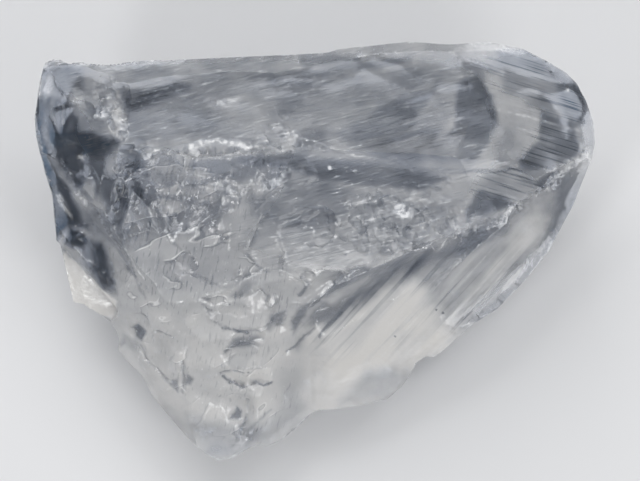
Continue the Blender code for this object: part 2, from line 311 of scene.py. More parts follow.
# %% Areas and lines
def beside(line, bend=1):
    """For each point, how far it is from a line seen from above, and on which side of it."""
    plan_x, plan_y = flat_x + bend * bend_x, flat_y + bend * bend_y
    best = np.full(len(points), np.inf)
    hand = np.zeros(len(points))
    for start, end in zip(line, line[1:]):
        run_x, run_y = end[0] - start[0], end[1] - start[1]
        off_x, off_y = plan_x - start[0], plan_y - start[1]
        share = np.clip((off_x * run_x + off_y * run_y) / (run_x**2 + run_y**2), 0, 1)
        gap = np.hypot(off_x - share * run_x, off_y - share * run_y)
        nearer = gap < best
        best = np.where(nearer, gap, best)
        hand = np.where(nearer, np.sign(run_x * off_y - run_y * off_x), hand)
    return best, hand


def area(rim, soft=0.35, bend=1):
    """How far each point is inside a many-sided area, with a soft edge in millimetres."""
    gap, _ = beside(list(rim) + [rim[0]], bend)
    plan_x, plan_y = flat_x + bend * bend_x, flat_y + bend * bend_y
    inside = np.zeros(len(points), dtype=bool)
    for start, end in zip(rim, list(rim[1:]) + [rim[0]]):
        spans = (start[1] > plan_y) != (end[1] > plan_y)
        slope = (end[0] - start[0]) / ((end[1] - start[1]) or 1e-9)
        inside ^= spans & (plan_x < start[0] + (plan_y - start[1]) * slope)
    return eased(0.5 + np.where(inside, gap, -gap) / (2 * soft)) * on_top


def along(line, width, bend=1):
    """1 on a line seen from above, falling softly to 0 at its width."""
    return eased(1 - beside(line, bend)[0] / width) * on_top


print("along the middle:", int((along([(-22.9, 0.0), (22.0, 0.0)], 1.0) > 0.5).sum()), "points")

# %% [markdown]
# The outline of the stone is right already, and its edges are thin. Relief that is cut there would
# notch the outline or go through the edge. So each point has a looseness that falls to almost
# nothing at the rim, and every later cut is multiplied by it. A rim point is one where a face that
# looks up meets a face that looks down.

# %% Hold the rim
RIM_REACH = 0.6  # mm from the rim within which the surface is held back
LEAST_AT_RIM = 0.12  # share of a cut that is made right at the rim
FLAT_ENOUGH = 0.02  # a rim point has one face that rises and one that falls by this much
a, b, c = (points[triangles[:, corner]] for corner in range(3))
rise = np.cross(b - a, c - a)
rise = rise[:, 2] / np.maximum(np.linalg.norm(rise, axis=1), 1e-9)
highest = np.full(len(points), -1.0)
lowest = np.full(len(points), 1.0)
for corner in range(3):
    np.maximum.at(highest, triangles[:, corner], rise)
    np.minimum.at(lowest, triangles[:, corner], rise)
rim_points = np.flatnonzero((highest > FLAT_ENOUGH) & (lowest < -FLAT_ENOUGH))
rim_tree = KDTree(len(rim_points))
for index in rim_points:
    rim_tree.insert(points[index], int(index))
rim_tree.balance()
to_rim = np.array([rim_tree.find(spot)[2] for spot in points])
loose = LEAST_AT_RIM + (1 - LEAST_AT_RIM) * eased(to_rim / RIM_REACH)
print("rim points:", len(rim_points))

# %% [markdown]
# The second half of the looseness is the thickness. A ray starts just inside each point, runs
# straight into the stone, and tells how far away the other side is.

# %% How thick the stone is
THICK = 2.2  # mm of stone under a point from which it may be worked in full
LEAST_WHERE_THIN = 0.1  # share of a cut that is made where there is no stone to spare
LONGEST_RAY = 4  # mm of stone that are looked through
JUST_INSIDE = 0.02  # mm below the surface, where a ray starts
skin = BVHTree.FromPolygons(points.tolist(), triangles.tolist())
thickness = np.array([
    skin.ray_cast(Vector(spot), Vector(-out), LONGEST_RAY)[3] or LONGEST_RAY
    for spot, out in zip(points - JUST_INSIDE * normals, normals)
])
loose *= LEAST_WHERE_THIN + (1 - LEAST_WHERE_THIN) * eased(thickness / THICK)
at_start = points.copy()
print("points with less than 1 mm of stone under them:", int((thickness < 1).sum()))


def sink(depth):
    """Moves the surface inwards by a depth for each point, and hardly moves the rim."""
    points[:] -= normals * (depth * loose)[:, None]


# %% [markdown]
# Some work should follow the broad lie of the stone and not every small bump on it. Averaging a
# column of numbers over the net, round after round, gives that broad view: here of which parts face
# down and outwards, and of the way that each part faces.

# %% The broad lie of the surface
def blended(values, rounds):
    """Evens a column of numbers out over the neighbours of each point."""
    for _ in range(rounds):
        total = np.bincount(first_end, values[second_end], len(points))
        total += np.bincount(second_end, values[first_end], len(points))
        values = (values + total) / (1 + neighbours)
    return values


side = eased(2 * blended((normals[:, 2] < -0.1) * 1.0, 10) - 1)
broad = np.stack([blended(normals[:, axis], 8) for axis in range(3)], axis=1)
print("points on the sides and underneath:", int((side > 0.5).sum()))

# %% [markdown]
# The pointed end of the stone is rubbed, and the hollows at its left end broke as smooth as glass.
# The same smoothing as before, limited to these places, takes the ridges away there and nowhere
# else.

# %% Soften the worn tip
worn = np.maximum(patch((-5.8, -13.2), 8, 5, 0), patch((-9.9, -6.9), 7, 5, 0))
UPPER_HOLLOW = ((-23.4, 13.9), (-21.8, 14.1), (-21.1, 13.0), (-19.3, 10.9), (-17.5, 10.0),
    (-18.8, 7.6), (-19.7, 5.1), (-20.4, 4.9), (-22.5, 7.5), (-23.6, 9.2))
LOWER_HOLLOW = ((-20.9, 0.8), (-20.0, 1.2), (-18.9, 0.6), (-18.1, -1.5), (-17.8, -3.4),
    (-18.9, -3.1), (-20.0, -1.7), (-20.7, -0.4))
soften(25, worn * 0.5)
soften(90, patch((-1.3, -10.3), 6.5, 3.4, 90, 0.5) * 0.5)
soften(60, patch((-1.1, 8.1), 1.6, 1.2, 0, 0.5) * 0.5)
for rim, soft in ((UPPER_HOLLOW, 0.6), (LOWER_HOLLOW, 0.5)):
    soften(60, area(rim, soft) * 0.5)
for spot in ((-21.2, 16.7), (-17.1, 16.9)):
    soften(30, patch(spot, 0.9, 0.9, 0, 0.6) * 0.5)
normals = outward()
print("softened points:", int((worn > 0.5).sum()))

# %% [markdown]
# Between its cleavages petalite breaks like glass: each blow takes off a shell and leaves a shallow
# bowl. A bowl is laid at the height of the surface around it, and whatever stands above the bowl is
# cut off. A boolean with a ball could cut it too, but it would leave long thin triangles along its
# edge.

# %% One shell-shaped chip
UPWARD = 0.12  # a point whose normal rises at least this much is seen from above
FAR = 100  # mm added to the distance of all other points, so that none of them is chosen
SAME_SIDE = 0.15  # a point takes part if it faces the chip's way at least this much
FEWEST = 8  # points that a cut needs


def scoop(place, long, wide, depth, turn=0, lean=0, share=loose):
    """Takes a shallow bowl out of the surface. Its depth is measured from what lies around it."""
    if len(place) == 2:
        gap = np.hypot(points[:, 0] - place[0], points[:, 1] - place[1])
        gap += FAR * (normals[:, 2] < UPWARD)
    else:
        gap = np.linalg.norm(points - place, axis=1)
    centre = points[np.argmin(gap)]
    near = np.linalg.norm(points - centre, axis=1) < max(long, wide) * 1.1
    near &= broad @ broad[np.argmin(gap)] > SAME_SIDE
    if near.sum() < FEWEST:
        return
    around = points[near]
    out = normals[near].mean(axis=0)
    out /= np.linalg.norm(out)
    right = np.array((1.0, 0.0, 0.0)) - out * out[0]
    right /= np.linalg.norm(right)
    ahead = np.cross(out, right)
    offset = around - around.mean(axis=0)
    height = offset @ out
    offset = around - centre
    cosine, sine = math.cos(math.radians(turn)), math.sin(math.radians(turn))
    down = offset @ right * cosine + offset @ ahead * sine
    over = offset @ ahead * cosine - offset @ right * sine
    bowl = depth * ((down / long) ** 2 + (over / wide) ** 2 - 1) + lean * down
    points[near] -= out * (np.maximum(height - bowl, 0) * share[near])[:, None]


print("points that a chip may start from:", int((normals[:, 2] >= UPWARD).sum()))

# %% [markdown]
# The larger chips are placed one by one. Most of them lie in the middle, where the stone was
# struck, and on the column of chips at its left end.

# %% Shell-shaped chips
CHIPS = (
    # place, long, wide, depth in mm, turn in degrees
    ((-18.6, 13.0), 1.1, 0.7, 0.35, 60),
    ((-17.7, 11.9), 0.9, 0.6, 0.3, 80),
    ((-17.2, 10.9), 0.9, 0.4, 0.25, 85),
    ((-18.9, 14.5), 0.9, 0.6, 0.3, 70),
    ((-20.0, 13.6), 0.9, 0.6, 0.3, 20),
    ((-7.7, 13.6), 1.6, 0.5, 0.12, 8),
    ((-2.2, 10.3), 1.0, 1.1, 0.25, 30),
    ((-19.9, 6.8), 1.3, 0.7, 0.35, -60),
    ((-17.5, 4.3), 2.4, 0.8, 0.35, 75),
    ((-13.0, 7.3), 1.2, 1.4, 0.4, 90),
    ((-14.4, 5.2), 1.2, 0.8, 0.3, 0),
    ((-9.2, 6.7), 1.3, 0.8, 0.3, 20),
    ((-6.7, 6.6), 1.4, 0.8, 0.3, 15),
    ((-3.8, 6.6), 1.4, 0.6, 0.25, 35),
    ((-5.8, 5.7), 1.3, 0.6, 0.25, 10),
    ((-10.7, 5.8), 1.0, 0.8, 0.3, -40),
    ((-12.5, 3.5), 1.6, 0.9, 0.35, -60),
    ((-10.7, 3.5), 1.7, 0.7, 0.35, 60),
    ((-14.4, 3.4), 1.3, 0.6, 0.25, -60),
    ((-9.4, 4.3), 1.0, 0.6, 0.3, 30),
    ((-7.6, 4.3), 1.0, 0.7, 0.25, -30),
    ((-2.2, 1.3), 1.9, 1.2, 0.2, 20),
    ((0.3, 2.2), 1.7, 1.2, 0.2, 60),
    ((-7.8, -0.8), 4.5, 1.6, 0.3, -8),
    ((-4.0, -4.2), 3.0, 1.7, 0.35, 20),
    ((-8.1, -5.8), 3.4, 1.6, 0.3, 5),
    ((-6.2, -7.8), 1.8, 0.9, 0.3, 20),
    ((-6.3, -11.4), 2.2, 1.0, 0.3, 8),
    ((-7.1, -8.9), 1.3, 0.7, 0.2, 10),
    ((-11.9, -11.2), 1.2, 0.35, 0.15, 80),
    ((-6.7, -15.0), 1.2, 0.4, 0.15, 75),
    ((-16.0, -6.9), 1.0, 0.7, 0.3, 60),
    ((20.7, 6.4), 1.2, 0.6, 0.25, 20),
    ((22.5, 7.5), 0.9, 0.6, 0.2, 40),
)
for chip in CHIPS:
    scoop(*chip)
normals = outward()
print("chips:", len(CHIPS))

# %% [markdown]
# Along its cleavages the stone parts flat. A plane is fitted to a many-sided place and then leaned
# a little, so that one edge of the flat ends in a small step. The lean also sets a painted shade on
# the flat, since a flat that is turned to the window looks milkier than its surroundings.

# %% One flat break
# painted shade of each flat, from how it leans to the window
painted_flake_shade = np.zeros(len(points))  # how much milkier a flat looks than its surroundings
flake_edge = np.zeros(len(points))  # 1 on the edge of a flat break
MOST_LIFT = 0.05  # mm by which a flat may stand above the old surface


def facet(drop, east, north, rim):
    """Flattens a many-sided place and leans it, so that its edges stand out as small steps."""
    weight = area(rim, 0.1, 0.2)
    inside = weight > 0.5
    if inside.sum() < FEWEST:
        return
    middle = points[inside].mean(axis=0)
    offset = points - middle
    design = np.c_[np.ones(inside.sum()), offset[inside, :2]]
    plane = np.linalg.lstsq(design, offset[inside, 2], rcond=None)[0]
    target = middle[2] + plane[0] - drop
    target = target + offset[:, 0] * (plane[1] + east) + offset[:, 1] * (plane[2] + north)
    points[:, 2] += (np.minimum(target, points[:, 2] + MOST_LIFT) - points[:, 2]) * weight * loose
    # painted shade: the flat is toned lighter or darker by its lean
    painted_flake_shade[:] += weight * np.clip(0.4 * north - 0.3 * east, -0.1, 0.12)
    flake_edge[:] = np.maximum(flake_edge, along(list(rim) + [rim[0]], 0.16, 0.2))


print("columns for the flats:", len(painted_flake_shade), "points each")

# %% [markdown]
# The flats that can be told apart are made one by one, first those of the upper left. Their drops
# and leans are small: a flat of 2 mm that leans by 0.2 has a step of 0.2 mm at each end.

# %% Flats of the upper left
def flatten(flats):
    """Makes flat breaks one after the other."""
    for flat_break in flats:
        facet(*flat_break)
    on_edges = int((flake_edge > 0.5).sum())
    print("flat breaks:", len(flats), "points on edges so far:", on_edges)


flatten((
    # drop in mm, how far it leans up to the east and to the north, corners
    (0.05, 0.0, -0.12, ((-13.9, 8.5), (-12.7, 8.6), (-12.1, 7.6), (-12.3, 6.3), (-13.2, 5.9),
        (-14.0, 6.1), (-14.3, 7.5))),
    (0.12, 0.0, 0.30, ((-14.0, 5.9), (-12.3, 6.1), (-11.7, 5.5), (-12.3, 4.9), (-13.7, 5.1))),
    (0.05, 0.22, 0.0, ((-17.5, 6.7), (-16.9, 5.7), (-16.6, 4.3), (-17.2, 3.0), (-17.9, 2.2),
        (-18.1, 3.9), (-18.0, 5.5))),
    (0.10, -0.25, -0.10, ((-18.9, 6.9), (-17.7, 6.6), (-18.2, 5.2), (-18.3, 3.7), (-19.5, 4.3))),
    (0.12, 0.10, 0.28, ((-16.6, 5.7), (-15.7, 5.1), (-15.0, 3.9), (-14.8, 2.2), (-16.2, 1.6),
        (-17.3, 2.2), (-16.5, 4.0))),
    (0.06, 0.10, -0.12, ((-16.8, 7.3), (-14.8, 7.3), (-14.3, 6.0), (-13.9, 4.8), (-15.0, 4.2),
        (-16.4, 6.0))),
    (0.12, -0.30, 0.10, ((-14.8, 4.0), (-14.1, 3.7), (-13.5, 2.1), (-14.4, 2.6))),
    (0.08, 0.0, -0.35, ((-13.2, 2.2), (-12.5, 0.9), (-11.9, 2.4), (-12.4, 3.5), (-13.0, 3.3))),
    (0.10, -0.35, -0.10, ((-9.8, 4.6), (-9.2, 4.2), (-10.0, 3.1), (-11.0, 2.0), (-11.4, 2.6),
        (-10.9, 3.7))),
    (0.18, 0.0, 0.35, ((-13.9, 4.8), (-12.0, 4.8), (-11.5, 4.0), (-12.3, 3.6), (-13.6, 3.6))),
    (0.06, 0.12, 0.10, ((-11.8, 5.7), (-10.5, 6.0), (-9.2, 5.7), (-9.1, 4.8), (-9.8, 4.6),
        (-11.2, 4.4))),
    (0.06, 0.0, 0.15, ((-10.5, 8.4), (-7.6, 8.4), (-7.1, 7.3), (-9.0, 6.6), (-10.7, 6.9))),
    (0.08, -0.2, 0.05, ((-7.1, 8.0), (-5.3, 7.7), (-4.8, 7.1), (-5.5, 6.0), (-7.1, 6.0),
        (-8.0, 6.6))),
    (0.08, -0.1, -0.25, ((-4.8, 6.2), (-2.5, 7.6), (-2.2, 6.9), (-3.5, 5.7), (-4.8, 5.3))),
    (0.08, 0.1, -0.2, ((-9.2, 6.0), (-7.6, 6.3), (-6.9, 5.7), (-7.8, 5.1), (-8.9, 5.3))),
))

# %% [markdown]
# The middle and the lower half have fewer and larger flats, and some long narrow ones stand beside
# the tip.

# %% Flats of the lower half
flatten((
    (0.04, 0.0, -0.08, ((-3.0, 2.4), (-1.3, 2.9), (-0.2, 2.1), (-0.4, 1.0), (-2.2, 0.3),
        (-3.4, 1.2))),
    (0.05, 0.08, 0.05, ((-2.6, 0.1), (-0.4, 0.8), (1.3, 0.3), (1.2, -1.3), (-1.3, -1.7),
        (-2.8, -1.0))),
    (0.05, -0.08, 0.06, ((-5.3, 1.3), (-3.7, 1.5), (-2.8, 0.1), (-3.0, -1.3), (-4.8, -1.5),
        (-5.8, -0.3))),
    (0.08, 0.12, 0.20, ((-10.0, -4.0), (-7.6, -3.4), (-6.0, -2.2), (-4.8, -1.8), (-5.1, -2.9),
        (-6.7, -4.2), (-9.0, -4.8))),
    (0.05, -0.10, -0.15, ((-6.6, -4.4), (-4.8, -3.1), (-4.0, -4.2), (-4.4, -5.3), (-5.8, -5.3))),
    (0.06, 0.0, -0.10, ((-9.8, -5.0), (-6.7, -5.7), (-4.8, -5.4), (-3.3, -4.3), (-2.6, -5.3),
        (-4.6, -6.9), (-6.4, -7.2), (-8.2, -6.7))),
    (0.06, 0.08, -0.15, ((-8.2, -8.7), (-6.7, -8.0), (-4.8, -8.2), (-5.8, -9.6), (-6.4, -10.7),
        (-7.8, -10.1))),
    (0.10, 0.0, 0.25, ((-8.4, -10.7), (-6.4, -10.5), (-3.9, -10.3), (-3.9, -11.5), (-6.5, -12.2))),
    (0.06, -0.20, -0.15, ((-15.5, -8.0), (-14.8, -9.6), (-12.8, -11.9), (-13.5, -12.5),
        (-14.8, -11.4), (-15.9, -9.6))),
    (0.10, 0.25, 0.0, ((-11.9, -9.6), (-11.2, -10.9), (-11.6, -12.5), (-12.1, -11.8))),
    (0.10, 0.20, 0.10, ((-7.8, -14.9), (-7.1, -13.7), (-5.9, -14.4), (-6.7, -16.8),
        (-7.1, -15.4))),
))

# %% [markdown]
# The column of chips at the left end has small flats that lean every way.

# %% Flats of the chipped column
flatten((
    (0.08, 0.3, 0.0, ((-18.9, 15.2), (-18.2, 14.5), (-17.7, 13.7), (-18.4, 13.4), (-19.3, 13.9))),
    (0.08, -0.2, -0.2, ((-20.0, 13.0), (-18.8, 13.6), (-18.2, 13.0), (-18.9, 12.1),
        (-20.0, 12.1))),
    (0.08, 0.1, 0.3, ((-18.2, 13.2), (-17.2, 12.7), (-16.8, 11.6), (-17.7, 11.8))),
    (0.06, -0.2, -0.1, ((-18.8, 11.9), (-17.7, 11.8), (-17.3, 10.3), (-18.2, 10.7))),
    (0.08, 0.35, 0.0, ((-17.5, 11.6), (-16.8, 11.4), (-17.0, 10.1), (-17.4, 10.3))),
))
normals = outward()

# %% [markdown]
# A sharp edge of a glassy stone never stays whole. Small chips with seeded places, sizes and turns
# run along the main ridges, and they are closest together where the edge is crushed.

# %% Nibbled ridges
def nibble(line, gap, size, depth, seed):
    """Breaks small chips out along a line."""
    chance = np.random.default_rng(seed)
    made = 0
    for start, end in zip(line, line[1:]):
        length = math.dist(start, end)
        for step in range(max(1, round(length / gap))):
            share = (step + chance.random()) / max(1, round(length / gap))
            spot = [a + (b - a) * share + chance.normal(0, size * 0.5) for a, b in zip(start, end)]
            big = size * chance.uniform(0.5, 1.3)
            small = big * chance.uniform(0.4, 0.9)
            scoop(spot, big, small, depth * chance.uniform(0.4, 1), chance.uniform(0, 180))
            made += 1
    return made


NIBBLED = (
    # spacing, size and depth in mm, seed, line
    (0.45, 0.5, 0.2, 1, ((-17.3, 9.2), (-14.8, 9.2), (-11.2, 9.1), (-7.6, 9.4), (-2.2, 9.2))),
    (0.6, 0.4, 0.12, 2, ((-2.2, 9.2), (1.3, 9.1), (5.8, 8.4), (8.5, 7.5))),
    (0.5, 0.5, 0.2, 3, ((24.2, 9.1), (22.0, 6.6), (20.2, 5.5))),
    (0.6, 0.45, 0.15, 4, ((20.2, 5.5), (16.6, 3.5), (13.0, 1.2))),
    (0.35, 0.5, 0.2, 5, ((-18.9, 15.2), (-17.7, 12.8), (-17.0, 10.3))),
    (0.6, 0.4, 0.15, 6, ((-9.0, 6.0), (-6.7, 5.7), (-4.8, 5.7), (-2.4, 7.3))),
    (0.25, 0.6, 0.18, 8, ((3.6, 4.8), (7.6, 3.9), (12.1, 2.5))),
    (0.2, 0.6, 0.15, 9, ((5.8, 1.6), (9.4, 1.3), (12.1, 1.2))),
    (0.8, 0.4, 0.12, 10, ((-22.9, 8.4), (-21.6, 5.7), (-19.3, 3.0), (-16.6, -0.6), (-14.8, -4.2))),
)
made = sum(nibble(line, gap, size, depth, seed) for gap, size, depth, seed, line in NIBBLED)
normals = outward()
print("nibbles:", made)

# %% [markdown]
# The sides and the back were broken from the block as well, by broader blows. They get seeded
# scoops of many sizes, the large ones as deep as they are on a real break: about a ninth of their
# length.

# %% Sides
SIDE_SCOOPS = 160
SCOOP_DEPTH = 0.11  # depth of a scoop as a share of its length
SMALLEST, LARGEST = 0.8, 5.0  # mm
flanks = np.flatnonzero((side > 0.5) & (broad[:, 2] > -0.85) & (points[:, 2] > 0.5))
chance = np.random.default_rng(41)
for index in chance.choice(flanks, SIDE_SCOOPS, replace=False):
    big = chance.uniform(SMALLEST, LARGEST)
    small = big * chance.uniform(0.45, 0.8)
    turn = chance.uniform(-30, 60)
    scoop(points[index].copy(), big, small, SCOOP_DEPTH * big, turn, 0, loose * side)
normals = outward()
soften(2, side * 0.4)
print("side scoops:", SIDE_SCOOPS)

# %% [markdown]
# Where one shell stops against the next there is a ledge: the surface drops at a line and then
# comes back slowly. A groove is simpler and falls on both sides of its line.

# %% Ledges and grooves
def fade_ends(line):
    """0 at both ends of a line, growing by 1 for each millimetre from the nearer end."""
    start = np.hypot(points[:, 0] - line[0][0], points[:, 1] - line[0][1])
    end = np.hypot(points[:, 0] - line[-1][0], points[:, 1] - line[-1][1])
    return np.minimum(start, end)


def ledge(drop, width, line):
    """Sinks the surface on the left of a line, most at the line itself."""
    gap, hand = beside(line)
    ends = eased(np.minimum(fade_ends(line), 1))
    sink(np.where(hand > 0, drop * np.exp(-gap / width), 0) * (gap < 5 * width) * on_top * ends)


LEDGES = (
    # drop and width in mm, line
    (0.18, 0.9, ((-11.2, -2.0), (-9.0, -2.9), (-7.2, -2.5), (-4.5, -1.5), (-2.7, -1.7),
        (-0.9, -3.1))),
    (0.15, 0.8, ((-0.9, -5.8), (-4.0, -6.2), (-6.3, -6.9), (-8.4, -8.0))),
    (0.15, 0.8, ((-8.4, -10.7), (-6.6, -12.1), (-4.2, -11.7), (-3.9, -11.0))),
    (0.2, 0.8, ((-16.6, -7.8), (-14.8, -10.1), (-12.6, -12.1))),
    (0.15, 0.8, ((-22.9, 8.4), (-21.6, 5.7), (-19.3, 3.0), (-16.6, -0.8), (-15.0, -4.2))),
)
GROOVES = (
    # depth and width in mm, line
    (0.25, 1.2, ((-2.2, -8.3), (-0.3, -5.3), (2.7, -4.0), (6.7, -1.7), (9.9, 0.3))),
    (0.12, 0.5, ((-1.3, -4.2), (0.6, -2.8), (4.2, -0.8))),
    (0.1, 0.6, ((-0.3, -9.6), (-0.3, -14.1))),
)
for row in LEDGES:
    ledge(*row)
for depth, width, line in GROOVES:
    sink(along(line, width) * depth)
deepest = np.linalg.norm(points - at_start, axis=1).max()
print("deepest work so far:", round(float(deepest), 2), "mm")

# %% [markdown]
# Fine ribs, called hackles, run the way that the crack ran. They are noise stretched a dozen times
# in one direction, so that each rib starts and ends somewhere, which a wave pattern would not do.
# Ripples lie across the crack's way, as rings around the point that was struck.

# %% Hackles and ripples
def comb(weight, size, turn, stretch, depth, shift):
    """Long low grooves that all run one way."""
    sink(weight * depth * grain(size, shift, turn, stretch))


ribbed = np.maximum(patch((14.8, 11.9), 11, 6, 0, 0.4), patch((4.0, 12.4), 9, 4, 0, 0.4))
comb(ribbed * eased((14 - points[:, 0]) / 4), 0.38, 17, 12, 0.05, 1)
comb(patch((19.8, 13.7), 7, 5, -15, 0.4), 0.42, -16, 18, 0.07, 2)
comb(patch((18.0, 5.9), 4, 2.2, -15, 0.4), 0.45, -22, 12, 0.07, 3)
comb(patch((10.3, -4.2), 14, 6, 48, 0.4), 0.55, 48, 20, 0.04, 4)
comb(on_top, 1.6, 0, 2.0, 0.03, 5)
comb(side, 0.9, 20, 3.0, 0.04, 9)


def ripple(weight, focus, gap, depth, shift):
    """Rings around the point where a break started."""
    reach = np.hypot(points[:, 0] - focus[0], points[:, 1] - focus[1])
    sink(weight * depth * np.sin(2 * math.pi * reach / gap + 2 * grain(4, shift)))


ripple(patch((-0.4, 3.4), 6, 3.5, 0), (-5.8, 14.6), 0.9, 0.03, 7)
ripple(patch((-8.5, -6.0), 7, 5, 0), (-14.8, 0.3), 1.1, 0.02, 8)
normals = outward()
print("ribbed points:", int((ribbed > 0.5).sum()))

# %% [markdown]
# In a few places the stone is crushed into many small flats that lean every way and sparkle. Seeds
# are scattered with one small plane each, and the surface follows the lowest of the three nearest
# planes. The seams between them are kept for later, because they are frosted.

# %% One crumbled place
SEAM_WIDTH = 0.22  # mm
BATCH = 3000  # points worked on at a time, to keep the tables of distances small


def crumble(weight, size, depth, lean, seed):
    """Breaks the surface into small leaning flats, and says how near each point is to a seam."""
    chance = np.random.default_rng(seed)
    near = np.flatnonzero(weight > 0.02)
    spots = points[near, :2]
    low, high = spots.min(axis=0) - size, spots.max(axis=0) + size
    columns = [np.arange(first, last, size) for first, last in zip(low, high)]
    seeds = np.stack(np.meshgrid(*columns), axis=-1).reshape(-1, 2)
    seeds += chance.uniform(-0.45, 0.45, seeds.shape) * size
    leans = chance.normal(0, lean, seeds.shape)
    rises = chance.uniform(0, depth, len(seeds))
    seam = np.zeros(len(points))
    drop = np.zeros(len(points))
    for some in np.array_split(np.arange(len(near)), 1 + len(near) // BATCH):
        offset = spots[some, None] - seeds[None]
        gap = np.hypot(offset[..., 0], offset[..., 1])
        closest = np.argsort(gap, axis=1)[:, :3]
        rows = np.arange(len(some))[:, None]
        flats = rises[closest] + (leans[closest] * offset[rows, closest]).sum(axis=-1)
        drop[near[some]] = np.maximum(depth - flats.min(axis=1), 0)
        gaps = gap[rows, closest]
        seam[near[some]] = eased(1 - (gaps[:, 1] - gaps[:, 0]) / SEAM_WIDTH)
    sink(weight * drop)
    return weight * seam


print("points of the fine net across a seam:", round(2 * SEAM_WIDTH * MM / NET, 1))

# %% [markdown]
# Four places are crumbled: a sparkling mass in the middle right, the column of chips at the left
# end, and the two long ridges. The underside has much larger and flatter pieces, as it is a single
# rough break.

# %% Crumbled places
SPARKLY = ((3.1, 4.9), (5.4, 5.8), (7.6, 5.1), (10.3, 3.9), (12.6, 3.7), (13.2, 2.4), (12.6, 1.2),
    (9.4, 0.4), (5.8, 0.1), (3.0, 1.0))
COLUMN = ((-19.5, 15.4), (-18.4, 15.2), (-17.7, 13.9), (-17.0, 12.8), (-16.6, 11.2), (-17.2, 10.0),
    (-17.9, 10.5), (-18.6, 11.9), (-20.2, 12.1), (-19.7, 13.7))
LONG_RIDGE = ((-16.6, 9.2), (-13.9, 8.9), (-10.3, 9.1), (-5.8, 9.2), (-1.7, 9.6))
RIGHT_RIDGE = ((24.3, 9.0), (22.0, 6.6), (18.4, 4.3), (13.0, 1.2))
CRUMBLED = (
    # where, size and depth of the flats in mm, how much they lean, seed
    (area(SPARKLY, 0.7), 0.65, 0.2, 0.3, 31),
    (area(COLUMN, 0.3), 0.6, 0.3, 0.4, 33),
    (along(LONG_RIDGE, 0.6), 0.5, 0.25, 0.4, 34),
    (along(RIGHT_RIDGE, 0.7), 0.5, 0.2, 0.4, 35),
)
seams = np.zeros(len(points))
for row in CRUMBLED:
    seams = np.maximum(seams, crumble(*row))
underside = eased((-normals[:, 2] - 0.9) / 0.08)
crumble(underside, 4.5, 0.16, 0.02, 39)
normals = outward()
print("points on seams:", int((seams > 0.5).sum()))

# %% [markdown]
# Petalite is clear, and it turns milky where it is full of tiny cracks. That follows the breaks, so
# a noise can't place it. It is painted area by area instead, from 0 for clear to 1 for white, and a
# later area covers an earlier one, as glazes do. The first areas are the broad ones. The colour
# ramp turns the clear end dark, a painted shade for the dark that is seen through the stone.

# %% Where the stone is milky
milk = np.full(len(points), 0.5)
flank = 1 - on_top


def tone(weight, value):
    """Pulls the milky value towards a value: 0 is clear and painted dark by the ramp, 1 is white.
    """
    milk[:] += (value - milk) * weight


def paint(areas):
    """Tones areas one after the other, and tells how milky the stone is then on average."""
    for value, soft, rim in areas:
        tone(area(rim, soft), value)
    print("areas:", len(areas), "milkiness:", round(float(milk.mean()), 3))


paint((
    # milkiness, width of the soft edge in mm, corners
    (0.52, 2.5, ((-16.6, 1.6), (-5.8, 1.6), (-1.3, -1.5), (-1.3, -6.9), (-14.8, -6.9),
        (-17.5, -3.3))),
    (0.76, 2.5, ((-17.5, -4.2), (-1.3, -4.2), (1.3, -15.0), (-9.4, -19.5), (-19.3, -8.7))),
    (0.60, 1.5, ((-3.1, -11.4), (1.3, -6.9), (1.3, -15.9), (-4.0, -18.6))),
    (0.42, 0.5, ((-24.3, 17.7), (-22.7, 17.0), (-13.9, 17.2), (-2.2, 18.0), (-1.3, 16.3),
        (-6.2, 15.7), (-10.3, 15.2), (-12.8, 15.4), (-17.2, 14.5), (-20.7, 13.9), (-23.3, 14.1),
        (-24.0, 16.4))),
    (0.36, 0.8, ((-17.2, 14.5), (-12.8, 15.2), (-6.2, 15.5), (-4.8, 14.2), (-2.2, 11.5),
        (-2.7, 9.4), (-10.3, 10.0), (-16.6, 9.7), (-17.3, 11.9))),
    (0.44, 1.2, ((-8.1, 14.2), (-5.8, 14.6), (-2.2, 11.5), (-3.1, 9.4), (-8.1, 10.1))),
    (0.38, 0.8, ((-5.8, 15.1), (-1.3, 15.5), (3.1, 16.0), (9.4, 16.8), (12.1, 16.0), (11.2, 15.2),
        (5.8, 13.6), (2.2, 12.7), (-0.4, 10.9), (-1.5, 11.2), (-4.0, 13.7))),
    (0.45, 1.0, ((-1.3, 11.0), (1.8, 12.7), (5.1, 13.0), (5.1, 11.8), (1.8, 10.1), (3.1, 9.2),
        (0.4, 9.6))),
    (0.37, 1.0, ((9.4, 17.3), (14.8, 17.3), (18.4, 18.2), (21.3, 16.6), (21.8, 14.6), (23.3, 11.9),
        (20.2, 12.7), (16.6, 14.3), (14.4, 15.9), (12.1, 15.9))),
))
